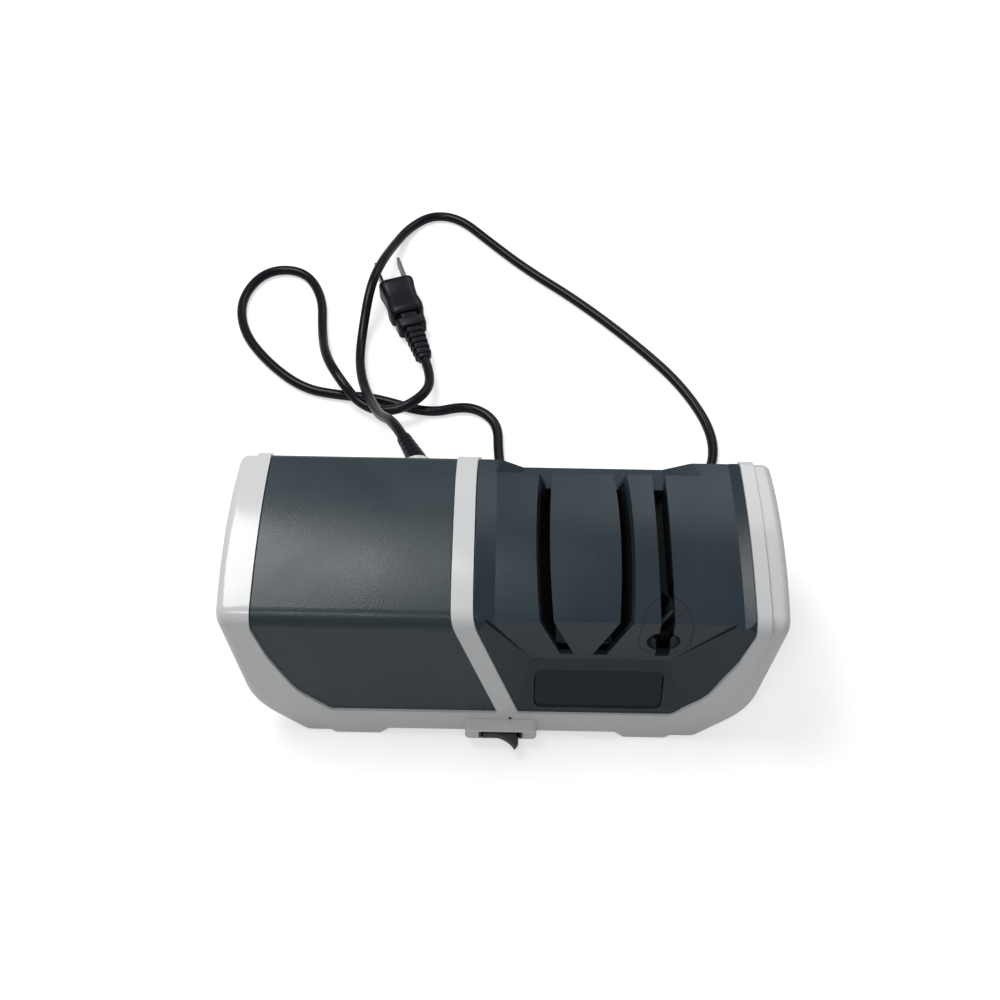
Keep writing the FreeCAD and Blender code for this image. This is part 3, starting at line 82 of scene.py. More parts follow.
@dataclass(frozen=True)
class Finish:
    """One finish, made as a procedural material on Object coordinates.

    The colour is mottled a little, the roughness is broken up by smudges, and the grain is a bump.
    Each noise is named with its cells per metre and its octaves.
    """

    MOTTLE_NOISE: ClassVar[tuple[float, float]] = (55.0, 3.0)
    SMUDGE_NOISE: ClassVar[tuple[float, float]] = (23.0, 5.0)
    GRAIN_OCTAVES: ClassVar[float] = 2.0
    NOISE_LOW: ClassVar[float] = 0.3
    NOISE_HIGH: ClassVar[float] = 0.7
    LEAST_ROUGHNESS: ClassVar[float] = 0.02
    COAT_ROUGHNESS: ClassVar[float] = 0.12
    STRIPE_DEPTH: ClassVar[float] = 0.2 * MM

    name: str
    colour: Colour
    roughness: float
    grain: Grain = Grain.SATIN
    mottle: float = 0.08
    smudge: float = 0.08
    metallic: float = 0.0
    coat: float = 0.0
    stripes: float = 0.0
    specular: float = 0.5

    def make(self) -> bpy.types.Material:
        """Builds the material, or returns it if it is there.

        Returns:
            The material of this finish.
        """
        title = "finish_" + self.name
        found = bpy.data.materials.get(title)
        if found is not None:
            return found
        material = bpy.data.materials.new(title)
        material.use_nodes = True
        nodes, links = material.node_tree.nodes, material.node_tree.links
        shader = nodes["Principled BSDF"]
        shader.inputs["Metallic"].default_value = self.metallic
        shader.inputs["Coat Weight"].default_value = self.coat
        shader.inputs["Coat Roughness"].default_value = self.COAT_ROUGHNESS
        shader.inputs["Specular IOR Level"].default_value = self.specular
        place = nodes.new("ShaderNodeTexCoord")
        self._tint(nodes, links, place, shader)
        self._smudge(nodes, links, place, shader)
        bump = self._bump(nodes, links, place, shader)
        if self.stripes:
            self._stripe(nodes, links, place, bump)
        return material

    def _noise(self, nodes: bpy.types.Nodes, links: bpy.types.NodeLinks, place: bpy.types.Node,
               scale: float, octaves: float) -> bpy.types.Node:
        """A noise pattern on Object coordinates.

        Args:
            nodes: The material's nodes.
            links: The material's links.
            place: The Texture Coordinate node.
            scale: Pattern cells per metre.
            octaves: Octaves of the noise.

        Returns:
            The noise node.
        """
        noise = nodes.new("ShaderNodeTexNoise")
        noise.inputs["Scale"].default_value = scale
        noise.inputs["Detail"].default_value = octaves
        links.new(place.outputs["Object"], noise.inputs["Vector"])
        return noise

    def _tint(self, nodes: bpy.types.Nodes, links: bpy.types.NodeLinks, place: bpy.types.Node,
              shader: bpy.types.Node) -> None:
        """Mottles the colour.

        Args:
            nodes: The material's nodes.
            links: The material's links.
            place: The Texture Coordinate node.
            shader: The Principled BSDF node.
        """
        noise = self._noise(nodes, links, place, *self.MOTTLE_NOISE)
        dark = [c * (1 - self.mottle) for c in self.colour]
        light = [min(1, c * (1 + self.mottle)) for c in self.colour]
        tint = nodes.new("ShaderNodeMix")
        tint.data_type = "RGBA"
        tint.inputs["A"].default_value = (*dark, 1)
        tint.inputs["B"].default_value = (*light, 1)
        links.new(noise.outputs["Fac"], tint.inputs["Factor"])
        links.new(tint.outputs["Result"], shader.inputs["Base Color"])

    def _smudge(self, nodes: bpy.types.Nodes, links: bpy.types.NodeLinks, place: bpy.types.Node,
                shader: bpy.types.Node) -> None:
        """Breaks up the roughness.

        Args:
            nodes: The material's nodes.
            links: The material's links.
            place: The Texture Coordinate node.
            shader: The Principled BSDF node.
        """
        noise = self._noise(nodes, links, place, *self.SMUDGE_NOISE)
        low = max(self.LEAST_ROUGHNESS, self.roughness - self.smudge)
        high = min(1.0, self.roughness + self.smudge)
        spread = nodes.new("ShaderNodeMapRange")
        spread.inputs["From Min"].default_value = self.NOISE_LOW
        spread.inputs["From Max"].default_value = self.NOISE_HIGH
        spread.inputs["To Min"].default_value = low
        spread.inputs["To Max"].default_value = high
        links.new(noise.outputs["Fac"], spread.inputs["Value"])
        links.new(spread.outputs["Result"], shader.inputs["Roughness"])

    def _bump(self, nodes: bpy.types.Nodes, links: bpy.types.NodeLinks, place: bpy.types.Node,
              shader: bpy.types.Node) -> bpy.types.Node:
        """Raises the grain.

        Args:
            nodes: The material's nodes.
            links: The material's links.
            place: The Texture Coordinate node.
            shader: The Principled BSDF node.

        Returns:
            The bump node.
        """
        scale, depth = self.grain.value
        noise = self._noise(nodes, links, place, scale, self.GRAIN_OCTAVES)
        bump = nodes.new("ShaderNodeBump")
        bump.inputs["Strength"].default_value = 1.0
        bump.inputs["Distance"].default_value = depth
        links.new(noise.outputs["Fac"], bump.inputs["Height"])
        links.new(bump.outputs["Normal"], shader.inputs["Normal"])
        return bump

    def _stripe(self, nodes: bpy.types.Nodes, links: bpy.types.NodeLinks, place: bpy.types.Node,
                after: bpy.types.Node) -> None:
        """Lays turned or wound lines under the grain's bump.

        Args:
            nodes: The material's nodes.
            links: The material's links.
            place: The Texture Coordinate node.
            after: The grain's bump node.
        """
        wave = nodes.new("ShaderNodeTexWave")
        wave.inputs["Scale"].default_value = self.stripes
        links.new(place.outputs["Object"], wave.inputs["Vector"])
        bump = nodes.new("ShaderNodeBump")
        bump.inputs["Distance"].default_value = self.STRIPE_DEPTH
        links.new(wave.outputs["Fac"], bump.inputs["Height"])
        links.new(bump.outputs["Normal"], after.inputs["Normal"])


WHITE_SHELL = Finish("white_shell", (0.72, 0.725, 0.73), 0.2, Grain.SMOOTH,
                     mottle=0.015, smudge=0.05, coat=0.35)
MOTOR_SHELL = Finish("motor_shell", (0.027, 0.044, 0.053), 0.3, Grain.LEATHERY,
                     mottle=0.16, smudge=0.1, specular=0.4)
GUIDE_SHELL = Finish("guide_shell", (0.019, 0.034, 0.046), 0.3, Grain.SATIN,
                     mottle=0.12, smudge=0.09, specular=0.35)
INSERT_SHELL = Finish("insert_shell", (0.017, 0.027, 0.036), 0.34, Grain.SATIN, specular=0.4)
DARK_MOULDING = Finish("dark_moulding", (0.006, 0.007, 0.009), 0.5, Grain.SATIN, specular=0.3)
# Near black: the rods' own dark grey, darkened further as painted shade standing for the shade in
# the fine insert's mouth.
CERAMIC_WITH_PAINTED_SHADE = Finish("ceramic", (0.012, 0.013, 0.014), 0.4, Grain.SMOOTH, mottle=0.05)
TRAY_SHELL = Finish("tray_shell", (0.0075, 0.0135, 0.019), 0.34, Grain.SATIN,
                    mottle=0.1, specular=0.3)
BASE_MOULDING = Finish("base_moulding", (0.05, 0.052, 0.055), 0.55, Grain.CAST)
FOOT_RUBBER = Finish("foot_rubber", (0.02, 0.02, 0.021), 0.8, Grain.CAST)
BRIGHT_STEEL = Finish("bright_steel", (0.62, 0.62, 0.63), 0.24, Grain.SMOOTH,
                      metallic=1.0, stripes=700.0)
CAN_STEEL = Finish("can_steel", (0.46, 0.47, 0.48), 0.36, Grain.SMOOTH, metallic=1.0)
BRONZE = Finish("bronze", (0.62, 0.42, 0.2), 0.34, Grain.SMOOTH, metallic=1.0)
MAGNET = Finish("magnet", (0.035, 0.035, 0.038), 0.6, Grain.GRIT)
COPPER = Finish("copper", (0.62, 0.26, 0.12), 0.3, Grain.SMOOTH, metallic=1.0, stripes=420.0)
FAN_MOULDING = Finish("fan_moulding", (0.09, 0.09, 0.1), 0.45, Grain.SATIN)
GRINDING_GRIT = Finish("grinding_grit", (0.2, 0.17, 0.14), 0.85, Grain.GRIT, mottle=0.3)
SWITCH_MOULDING = Finish("switch_moulding", (0.018, 0.02, 0.023), 0.42, Grain.SATIN)
CORD_SHEATH = Finish("cord_sheath", (0.0022, 0.0032, 0.0062), 0.24, Grain.SMOOTH,
                     mottle=0.1, specular=0.22)
PLUG_MOULDING = Finish("plug_moulding", (0.003, 0.0045, 0.0085), 0.36, Grain.SATIN,
                       mottle=0.1, specular=0.25)
PRONG_NICKEL = Finish("prong_nickel", (0.3, 0.29, 0.27), 0.34, Grain.SMOOTH, metallic=1.0)

SLOT_FINISHES: dict[str, Finish] = {
    "housing_white": WHITE_SHELL,
    "cover_grey": MOTOR_SHELL,
    "guide_grey": GUIDE_SHELL,
    "insert_grey": INSERT_SHELL,
    "guide_black": DARK_MOULDING,
    "ceramic": CERAMIC_WITH_PAINTED_SHADE,
    "tray_grey": TRAY_SHELL,
    "base_grey": BASE_MOULDING,
    "foot_rubber": FOOT_RUBBER,
    "steel": BRIGHT_STEEL,
    "can_steel": CAN_STEEL,
    "bronze": BRONZE,
    "magnet": MAGNET,
    "copper": COPPER,
    "fan_plastic": FAN_MOULDING,
    "grinding_wheel": GRINDING_GRIT,
    "switch_black": SWITCH_MOULDING,
    "cord_black": CORD_SHEATH,
    "prong": PRONG_NICKEL,
}


class Bench:
    """Helpers that turn a bmesh or a CAD node into a finished piece.

    PIECE_CREASE and NODE_CREASE are the least angles, in degrees, between two faces whose edge
    stays sharp. FLAT is the angle under which a node's faces count as one plane. WELD, in metres,
    is the distance under which two points of a node count as one.
    """

    PIECE_CREASE: ClassVar[float] = 32.0
    NODE_CREASE: ClassVar[float] = 28.0
    FLAT: ClassVar[float] = 0.4
    WELD: ClassVar[float] = 1e-6
    EDGE_SEGMENTS: ClassVar[int] = 3
    CORNER_SEGMENTS: ClassVar[int] = 4
    TURN_FACES: ClassVar[int] = 40

    @staticmethod
    def piece(name: str, bm: bmesh.types.BMesh, finish: Finish, body: str,
              slot: str) -> bpy.types.Object:
        """Makes an object from a bmesh, dresses it and puts it on a body.

        Args:
            name: The piece's name.
            bm: Its shape, in the row frame. It is freed.
            finish: Its finish.
            body: The CAD body that it rides on.
            slot: The record's material slot; not used.

        Returns:
            The finished object.
        """
        bmesh.ops.recalc_face_normals(bm, faces=bm.faces)
        mesh = bpy.data.meshes.new(name)
        bm.to_mesh(mesh)
        bm.free()
        mesh.shade_smooth()
        mesh.set_sharp_from_angle(angle=math.radians(Bench.PIECE_CREASE))
        obj = bpy.data.objects.new(name, mesh)
        bpy.context.scene.collection.objects.link(obj)
        obj.data.materials.append(finish.make())
        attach(obj, body)
        LOG.info("piece %s: %d faces", name, len(mesh.polygons))
        return obj

    @staticmethod
    def merged(node: str, name: str, finish: Finish, edge: float,
               angle: float = NODE_CREASE) -> bpy.types.Object:
        """A merged copy of a CAD node with softened edges, in place of the node.

        Args:
            node: The CAD node that it stands for.
            name: The copy's name.
            finish: Its finish.
            edge: Width of the softened edges, in metres.
            angle: Least angle between two faces whose edge is softened, in degrees.

        Returns:
            The merged copy.
        """
        source = frame["nodes"][node]
        mesh = source.data.copy()
        mesh.name = name
        mesh.materials.clear()
        bm = bmesh.new()
        bm.from_mesh(mesh)
        bmesh.ops.remove_doubles(bm, verts=bm.verts, dist=Bench.WELD)
        bmesh.ops.dissolve_limit(bm, angle_limit=math.radians(Bench.FLAT), verts=bm.verts,
                                 edges=bm.edges)
        bm.to_mesh(mesh)
        bm.free()
        mesh.shade_smooth()
        mesh.set_sharp_from_angle(angle=math.radians(angle))
        obj = bpy.data.objects.new(name, mesh)
        bpy.context.scene.collection.objects.link(obj)
        mesh.materials.append(finish.make())
        bevel = obj.modifiers.new("edges", "BEVEL")
        bevel.width = edge
        bevel.segments = Bench.EDGE_SEGMENTS
        bevel.limit_method = "ANGLE"
        bevel.angle_limit = math.radians(angle)
        bevel.harden_normals = True
        even = obj.modifiers.new("even_normals", "WEIGHTED_NORMAL")
        even.keep_sharp = True
        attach(obj, source["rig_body"])
        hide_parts(node)
        LOG.info("merged %s: %d faces", name, len(mesh.polygons))
        return obj

    @staticmethod
    def rounded_loop(bm: bmesh.types.BMesh, corner: float) -> list[bmesh.types.BMEdge]:
        """A closed loop of edges, a square of side 1 with rounded corners, in the XY plane.

        Args:
            bm: The bmesh that it is made in.
            corner: Radius of the corners.

        Returns:
            The loop's edges.
        """
        before = set(bm.verts)
        corners = bmesh.ops.create_circle(bm, cap_ends=False, segments=4,
                                          radius=math.sqrt(0.5))["verts"]
        bmesh.ops.rotate(bm, verts=corners, matrix=Matrix.Rotation(math.radians(45), 3, "Z"))
        bmesh.ops.bevel(bm, geom=corners, offset=corner, offset_type="OFFSET", affect="VERTICES",
                        segments=Bench.CORNER_SEGMENTS, profile=0.5, material=-1)
        fresh = [v for v in bm.verts if v not in before]
        return list(dict.fromkeys(e for v in fresh for e in v.link_edges))

    @staticmethod
    def loft(bm: bmesh.types.BMesh, loop: list[bmesh.types.BMEdge], steps: list[Step]) -> None:
        """Draws a loop along Z, with a width and height at each step, and closes both ends.

        Args:
            bm: The bmesh that the loop is in.
            loop: The loop's edges, of width and height 1 at Z = 0.
            steps: For each step its Z, width and height.
        """
        first = list(dict.fromkeys(v for e in loop for v in e.verts))
        bmesh.ops.translate(bm, verts=first, vec=(0, 0, steps[0][0]))
        bmesh.ops.scale(bm, verts=first, vec=(steps[0][1], steps[0][2], 1.0))
        bmesh.ops.edgeloop_fill(bm, edges=loop)
        edges, before = loop, steps[0]
        for step in steps[1:]:
            grown = bmesh.ops.extrude_edge_only(bm, edges=edges)["geom"]
            verts = [g for g in grown if isinstance(g, bmesh.types.BMVert)]
            edges = [g for g in grown if isinstance(g, bmesh.types.BMEdge)
                     and all(v in set(verts) for v in g.verts)]
            bmesh.ops.translate(bm, verts=verts, vec=(0, 0, step[0] - before[0]))
            bmesh.ops.scale(bm, verts=verts, vec=(step[1] / before[1], step[2] / before[2], 1.0))
            before = step
        bmesh.ops.edgeloop_fill(bm, edges=edges)

    @staticmethod
    def lathe(bm: bmesh.types.BMesh, profile: list[tuple[float, float]]) -> None:
        """Spins a profile round Z.

        Args:
            bm: The bmesh that the turned shape is made in.
            profile: Radius and Z of each point, from one end to the other.
        """
        count = Bench.TURN_FACES
        turns = [(math.cos(math.tau * i / count), math.sin(math.tau * i / count))
                 for i in range(count)]
        rings = [[bm.verts.new((radius * x, radius * y, z))
                  for x, y in (turns if radius else [(0.0, 0.0)])]
                 for radius, z in profile]
        for low, high in zip(rings, rings[1:]):
            for i in range(count):
                corners = (low[i % len(low)], low[(i + 1) % len(low)],
                           high[(i + 1) % len(high)], high[i % len(high)])
                bm.faces.new(list(dict.fromkeys(corners)))

    @staticmethod
    def place(bm: bmesh.types.BMesh, origin: Vector, along: Vector) -> None:
        """Moves a shape made along Z so that Z points along an axis and Y upwards.

        Args:
            bm: The shape.
            origin: Where its origin goes.
            along: Where its Z axis points.
        """
        z_axis = along.normalized()
        x_axis = UP.cross(z_axis).normalized()
        y_axis = z_axis.cross(x_axis)
        turn = Matrix((x_axis, y_axis, z_axis)).transposed().to_4x4()
        bmesh.ops.transform(bm, matrix=Matrix.Translation(origin) @ turn, verts=bm.verts)


@dataclass(frozen=True)
class Lamp:
    """A soft square lamp that points at the middle of the object."""

    name: str
    place: Point
    size: float
    power: float
    colour: Colour

    def hang(self) -> None:
        """Makes the lamp."""
        data = bpy.data.lights.new(self.name, "AREA")
        data.size = self.size
        data.energy = self.power
        data.color = self.colour
        lamp = bpy.data.objects.new(self.name, data)
        lamp.location = self.place
        lamp.rotation_euler = (-Vector(self.place)).to_track_quat("-Z", "Y").to_euler()
        bpy.context.scene.collection.objects.link(lamp)


@dataclass
class Studio:
    """The camera, the lamps and the floor. Angles are in degrees and lengths in metres."""

    eye: Point = (-0.0036, -0.2798, 0.521)
    pitch: float = 55.9
    yaw: float = 0.28
    roll: float = 1.28
    lens: float = 46.55
    clip_start: float = 0.01
    sky_colour: Colour = (0.97, 0.985, 1.0)
    sky_strength: float = 0.27
    glossy_share: float = 0.12
    floor_half: float = 2.5
    floor_drop: float = 0.2 * MM
    floor_grey: float = 0.8
    floor_roughness: float = 0.9
    floor_glow: float = 0.55
    lamps: list[Lamp] = field(default_factory=lambda: [
        Lamp("key", (-0.34, 0.3, 0.84), 0.46, 4.6, (1.0, 0.995, 0.985)),
        Lamp("back", (0.3, 0.8, 0.7), 0.5, 1.2, (0.97, 0.985, 1.0)),
        Lamp("glint", (-0.22, -0.5, 0.95), 0.16, 0.9, (1.0, 1.0, 1.0)),
    ])

    def camera(self) -> None:
        """Stands the camera where the photograph was taken from."""
        pitch, yaw, roll = (math.radians(a) for a in (self.pitch, self.yaw, self.roll))
        level = math.cos(pitch)
        ahead = Vector((math.sin(yaw) * level, math.cos(yaw) * level, -math.sin(pitch)))
        right = Vector((math.cos(yaw), -math.sin(yaw), 0.0))
        above = right.cross(ahead)
        x_axis = right * math.cos(roll) + above * math.sin(roll)
        y_axis = above * math.cos(roll) - right * math.sin(roll)
        data = bpy.data.cameras.new("camera")
        data.lens = self.lens
        data.clip_start = self.clip_start
        camera = bpy.data.objects.new("camera", data)
        camera.matrix_world = (Matrix.Translation(self.eye)
                               @ Matrix((x_axis, y_axis, -ahead)).transposed().to_4x4())
        bpy.context.scene.collection.objects.link(camera)
        bpy.context.scene.camera = camera

    def light(self) -> None:
        """Hangs the soft lamps and sets the world's even light."""
        for lamp in self.lamps:
            lamp.hang()
        world = bpy.data.worlds.new("studio")
        bpy.context.scene.world = world
        world.use_nodes = True
        nodes, links = world.node_tree.nodes, world.node_tree.links
        sky = nodes["Background"]
        sky.inputs["Color"].default_value = (*self.sky_colour, 1)
        sky.inputs["Strength"].default_value = self.sky_strength
        white = nodes.new("ShaderNodeBackground")
        white.inputs["Strength"].default_value = 1.0
        white.inputs["Color"].default_value = (1, 1, 1, 1)
        mix = nodes.new("ShaderNodeMixShader")
        links.new(self.seen(nodes, links), mix.inputs["Fac"])
        links.new(sky.outputs["Background"], mix.inputs[1])
        links.new(white.outputs["Background"], mix.inputs[2])
        links.new(mix.outputs["Shader"], nodes["World Output"].inputs["Surface"])

    def seen(self, nodes: bpy.types.Nodes, links: bpy.types.NodeLinks) -> bpy.types.NodeSocket:
        """A factor of 1 for camera and transmission rays, and of less for glossy ones.

        Args:
            nodes: The material's or world's nodes.
            links: Its links.

        Returns:
            The factor's socket.
        """
        path = nodes.new("ShaderNodeLightPath")
        total = path.outputs["Is Camera Ray"]
        for name, share in (("Is Glossy Ray", self.glossy_share), ("Is Transmission Ray", 1.0)):
            add = nodes.new("ShaderNodeMath")
            add.operation = "MULTIPLY_ADD"
            add.use_clamp = True
            add.inputs[1].default_value = share
            links.new(path.outputs[name], add.inputs[0])
            links.new(total, add.inputs[2])
            total = add.outputs["Value"]
        return total

    def floor(self) -> None:
        """Lays a pale floor that the camera sees as white and that keeps the shadow."""
        bm = bmesh.new()
        bmesh.ops.create_grid(bm, x_segments=1, y_segments=1, size=self.floor_half)
        mesh = bpy.data.meshes.new("floor")
        bm.to_mesh(mesh)
        bm.free()
        floor = bpy.data.objects.new("floor", mesh)
        floor.location = (0, 0, -self.floor_drop)
        bpy.context.scene.collection.objects.link(floor)
        material = bpy.data.materials.new("floor")
        material.use_nodes = True
        nodes, links = material.node_tree.nodes, material.node_tree.links
        shader = nodes["Principled BSDF"]
        shader.inputs["Base Color"].default_value = (*[self.floor_grey] * 3, 1)
        shader.inputs["Roughness"].default_value = self.floor_roughness
        shader.inputs["Emission Color"].default_value = (1, 1, 1, 1)
        glow = nodes.new("ShaderNodeMath")
        glow.operation = "MULTIPLY"
        glow.inputs[1].default_value = self.floor_glow
        links.new(self.seen(nodes, links), glow.inputs[0])
        links.new(glow.outputs["Value"], shader.inputs["Emission Strength"])
        floor.data.materials.append(material)

    def build(self) -> None:
        """Camera, lamps and floor."""
        bpy.context.scene.view_settings.view_transform = "Standard"
        self.camera()
        self.light()
        self.floor()
        LOG.info("studio built")


@dataclass
class Lead:
    """The free lead: relief, cord and plug.

    The route, the plug's steps and its ribs are in millimetres, and the rest is in metres. A step
    holds how far it lies along the plug, its width and its height.
    """

    diameter: float = 0.005
    straight: float = 0.013
    tube_resolution: int = 5
    curve_resolution: int = 8
    curve_order: int = 3

    relief_root: Point = (-0.038, 0.0545, 0.055)
    relief_axis: Point = (-0.42, 0.88, -0.22)
    relief_length: float = 0.020
    relief_sunk: float = 0.5 * MM
    relief_wide: float = 4.4 * MM
    relief_narrow: float = 3.3 * MM
    relief_ribs: int = 5
    relief_first_rib: float = 2 * MM
    relief_plain: float = 4 * MM
    relief_tip: tuple[float, float] = (0.8 * MM, 0.6 * MM)
    relief_groove: tuple[tuple[float, float], ...] = (
        (0.0, 0.0), (0.25 * MM, 0.3 * MM), (0.25 * MM, 1.1 * MM), (0.05 * MM, 1.4 * MM))

    route: list[Point] = field(default_factory=lambda: [
        (-59.5, 97.0, 34.0), (-64.5, 112.5, 21.5), (-70.0, 128.0, 13.5), (-74.0, 143.0, 8.5),
        (-76.3, 160.0, 3.5), (-75.6, 177.0, 6.0), (-72.7, 196.0, 16.0), (-68.5, 213.0, 16.5),
        (-62.8, 236.0, 8.0), (-55.5, 255.5, 2.5), (-43.0, 266.0, 2.5), (-27.0, 263.5, 2.5),
        (-10.0, 245.5, 2.5), (11.0, 224.5, 2.5), (38.0, 202.5, 2.5), (68.0, 172.5, 2.5),
        (92.0, 143.5, 2.5), (106.0, 111.0, 2.5), (100.0, 84.0, 2.5), (76.0, 72.5, 2.5),
        (48.0, 71.0, 2.5), (20.0, 71.5, 2.5), (-1.0, 82.0, 2.5), (-3.2, 100.0, 2.5),
        (-3.5, 116.0, 2.5), (-10.5, 125.0, 2.5), (-21.5, 128.6, 2.5), (-39.0, 123.2, 2.5),
        (-66.0, 132.8, 2.5), (-84.0, 134.0, 2.5), (-104.0, 138.0, 2.5), (-124.0, 155.0, 2.5),
        (-139.5, 176.0, 2.5), (-143.5, 200.0, 2.5), (-132.0, 221.0, 2.5), (-111.0, 221.0, 2.5),
        (-99.5, 202.0, 2.5), (-97.5, 176.0, 2.5), (-93.0, 154.0, 9.5), (-84.5, 137.0, 13.0),
        (-73.0, 124.5, 6.0), (-56.5, 117.8, 9.5), (-41.0, 127.0, 12.0),
    ])

    plug_root: Point = (-0.042, 0.155, 0.0073)
    plug_tip: Point = (-0.060, 0.206, 0.0073)
    plug_corner: float = 0.22
    plug_tail: list[Step] = field(default_factory=lambda: [
        (0.0, 5.6, 5.4), (0.6, 6.4, 6.0), (10.0, 7.4, 6.6), (22.0, 8.8, 7.6), (32.0, 10.0, 9.0)])
    plug_collar: list[Step] = field(default_factory=lambda: [
        (21.0, 13.4, 9.4), (21.8, 15.0, 10.4), (26.4, 15.6, 10.8), (27.2, 14.4, 9.8)])
    plug_head: list[Step] = field(default_factory=lambda: [
        (30.6, 15.4, 11.0), (31.6, 17.8, 12.6), (35.0, 18.6, 13.4), (42.0, 17.0, 11.6),
        (48.0, 17.8, 12.8), (51.0, 18.8, 14.2), (53.2, 18.8, 14.4), (54.0, 17.8, 13.6)])
    rib_count: int = 5
    rib_first: float = 2.0
    rib_pitch: float = 3.7
    rib_width: float = 8.6
    rib_height: float = 7.6
    rib_widens: float = 0.45
    rib_heightens: float = 0.3
    rib_round: float = 0.8
    rib_along: tuple[float, float, float] = (0.4, 1.7, 2.1)
    prong_edge: float = 0.25 * MM
    prong_crease: float = 30.0

    def relief_end(self) -> Vector:
        """The middle of the relief's free end, where the cord leaves it."""
        return Vector(self.relief_root) + Vector(self.relief_axis).normalized() * self.relief_length

    def points(self) -> list[Vector]:
        """The lead's control points, in metres, from the relief's end to the plug."""
        axis = Vector(self.relief_axis).normalized()
        end = self.relief_end()
        plug = (Vector(self.plug_tip) - Vector(self.plug_root)).normalized()
        between = [Vector(point) * MM for point in self.route]
        return [end, end + axis * self.straight, *between,
                Vector(self.plug_root) - plug * self.straight, Vector(self.plug_root)]

    def cord(self) -> bpy.types.Object:
        """The twin lead, as one smooth curve.

        Returns:
            The cord.
        """
        data = bpy.data.curves.new("lead", "CURVE")
        data.dimensions = "3D"
        data.bevel_depth = self.diameter / 2
        data.bevel_resolution = self.tube_resolution
        data.resolution_u = self.curve_resolution
        data.use_fill_caps = True
        spline = data.splines.new("NURBS")
        points = self.points()
        spline.points.add(len(points) - 1)
        for slot, point in zip(spline.points, points):
            slot.co = (*point, 1.0)
        spline.order_u = self.curve_order
        spline.use_endpoint_u = True
        cord = bpy.data.objects.new("lead", data)
        bpy.context.scene.collection.objects.link(cord)
        data.materials.append(CORD_SHEATH.make())
        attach(cord, "housing")
        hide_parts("cord")
        return cord

    def relief_profile(self) -> list[tuple[float, float]]:
        """The relief's outline, from the middle of its root to the middle of its free end.

        Returns:
            Radius and distance along the relief of each point.
        """
        wide, narrow, length = self.relief_wide, self.relief_narrow, self.relief_length
        profile = [(0.0, -self.relief_sunk), (wide, -self.relief_sunk)]
        pitch = (length - self.relief_plain) / self.relief_ribs
        for i in range(self.relief_ribs):
            radius = wide + (narrow - wide) * i / self.relief_ribs
            start = self.relief_first_rib + i * pitch
            profile += [(radius - deep, start + along) for deep, along in self.relief_groove]
        along, deep = self.relief_tip
        return profile + [(narrow, length - along), (narrow - deep, length), (0.0, length)]

    def relief(self) -> bpy.types.Object:
        """The ribbed, tapered relief at the boss.

        Returns:
            The relief.
        """
        bm = bmesh.new()
        Bench.lathe(bm, self.relief_profile())
        Bench.place(bm, Vector(self.relief_root), Vector(self.relief_axis))
        sleeve = Bench.piece("relief_sleeve", bm, CORD_SHEATH, "housing", "cord_black")
        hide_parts("cord_relief")
        return sleeve

    def plug_ribs(self) -> list[list[Step]]:
        """The cross ribs of the plug's tail.

        Returns:
            For each rib the steps of its loft.
        """
        ribs = []
        rise, fall, end = self.rib_along
        for i in range(self.rib_count):
            start = self.rib_first + self.rib_pitch * i
            wide = self.rib_width + self.rib_widens * i
            tall = self.rib_height + self.rib_heightens * i
            foot = (wide - self.rib_round, tall - self.rib_round)
            ribs.append([(start, *foot), (start + rise, wide, tall),
                         (start + fall, wide, tall), (start + end, *foot)])
        return ribs

    def plug(self) -> list[bpy.types.Object]:
        """The plug's moulded body and its prongs.

        Returns:
            The pieces of the plug.
        """
        bm = bmesh.new()
        for steps in (self.plug_tail, self.plug_collar, self.plug_head, *self.plug_ribs()):
            Bench.loft(bm, Bench.rounded_loop(bm, self.plug_corner), steps)
        bmesh.ops.scale(bm, verts=bm.verts, vec=(MM, MM, MM))
        Bench.place(bm, Vector(self.plug_root), Vector(self.plug_tip) - Vector(self.plug_root))
        body = Bench.piece("plug_moulding", bm, PLUG_MOULDING, "housing", "cord_black")
        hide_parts("plug_body")
        prongs = Bench.merged("plug_prongs", "prong_pair", PRONG_NICKEL, self.prong_edge,
                              self.prong_crease)
        return [body, prongs]

    def build(self) -> None:
        """Relief, cord and plug."""
        cord = self.cord()
        relief = self.relief()
        pieces = self.plug()
        LOG.info("lead built")


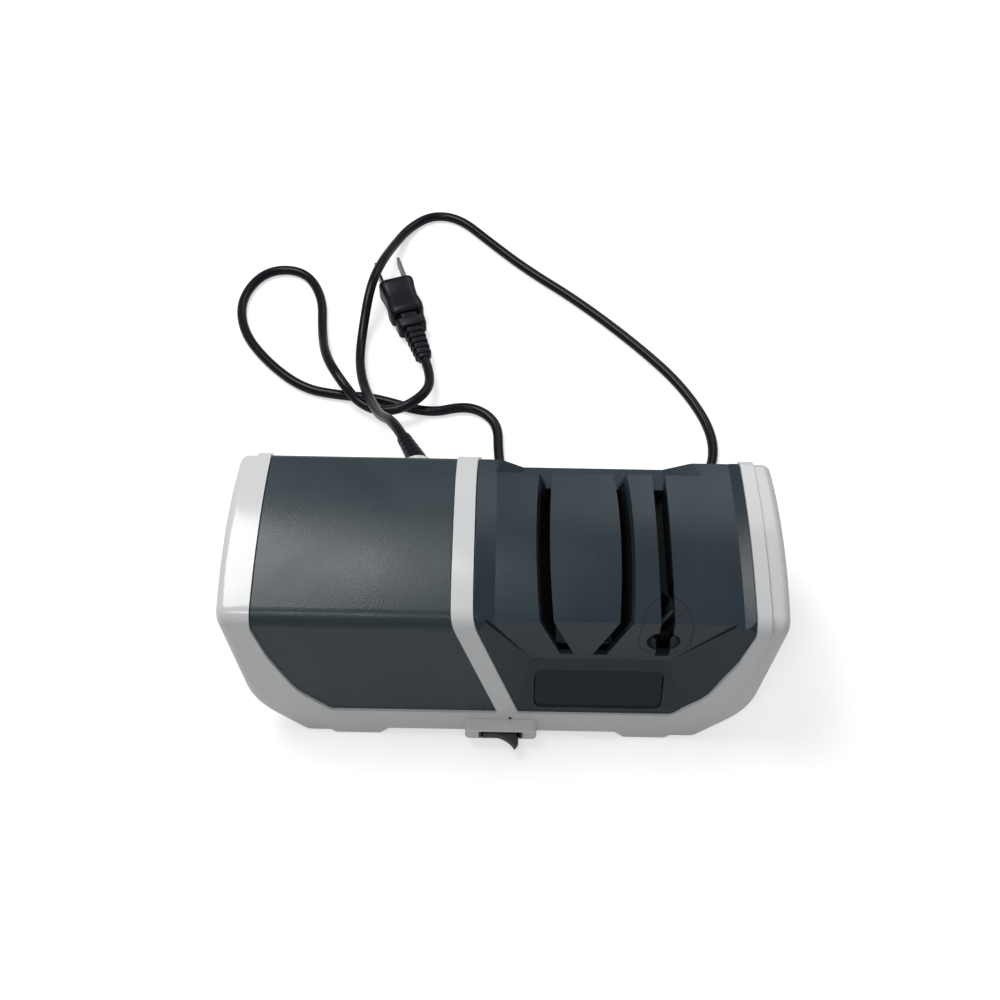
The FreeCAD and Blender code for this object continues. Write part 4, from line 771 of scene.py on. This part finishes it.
@dataclass
class Housing:
    """The white frame, the motor's cover, the base and a small pip at the foot of the band."""

    edge: float = 0.45 * MM
    base_edge: float = 0.3 * MM
    pip_place: Point = (0.0039, -0.0476, 0.0128)
    pip_radius: float = 0.8 * MM

    def build(self) -> None:
        """Frame, cover, base and pip."""
        Bench.merged("white_frame", "frame_shell", WHITE_SHELL, self.edge)
        Bench.merged("motor_cover", "motor_shell", MOTOR_SHELL, self.edge)
        Bench.merged("base_plate", "base_tray", BASE_MOULDING, self.base_edge)
        self.pip()
        LOG.info("housing built")

    def pip(self) -> None:
        """A small dark pip at the foot of the band."""
        bm = bmesh.new()
        bmesh.ops.create_uvsphere(bm, u_segments=16, v_segments=8, radius=self.pip_radius)
        bmesh.ops.translate(bm, verts=bm.verts, vec=self.pip_place)
        Bench.piece("band_pip", bm, SWITCH_MOULDING, "housing", "switch_black")


@dataclass
class GuideHalf:
    """The guide cover with its slots, the fine insert and the filings tray."""

    cover_edge: float = 1.0 * MM
    cover_crease: float = 14.0
    insert_edge: float = 0.4 * MM
    tray_edge: float = 0.5 * MM

    def build(self) -> None:
        """Cover, insert and tray."""
        Bench.merged("guide_cover", "guide_shell", GUIDE_SHELL, self.cover_edge, self.cover_crease)
        Bench.merged("fine_insert", "insert_shell", INSERT_SHELL, self.insert_edge)
        Bench.merged("filings_tray", "tray_shell", TRAY_SHELL, self.tray_edge)
        LOG.info("guide half built")


@dataclass
class Switch:
    """The rocker in its hood."""

    edge: float = 0.4 * MM

    def build(self) -> None:
        """The rocker's cap."""
        Bench.merged("rocker", "rocker_cap", SWITCH_MOULDING, self.edge)
        LOG.info("switch built")


def dress_nodes() -> None:
    """Gives every carried-over CAD node the finish of its slot."""
    for part in frame["record"]["subparts"]:
        node = frame["nodes"][part["node"]]
        if node.hide_render:
            continue
        node.data.materials.clear()
        node.data.materials.append(SLOT_FINISHES[part["material_slot"]].make())
        LOG.info("node %s: %s", part["node"], part["material_slot"])


def main() -> None:
    """Builds the studio and every sub-assembly."""
    logging.basicConfig(level=logging.INFO, format="%(message)s")
    Studio().build()
    for assembly in (Lead(), Housing(), GuideHalf(), Switch()):
        assembly.build()
    dress_nodes()


if __name__ == "__main__":
    main()
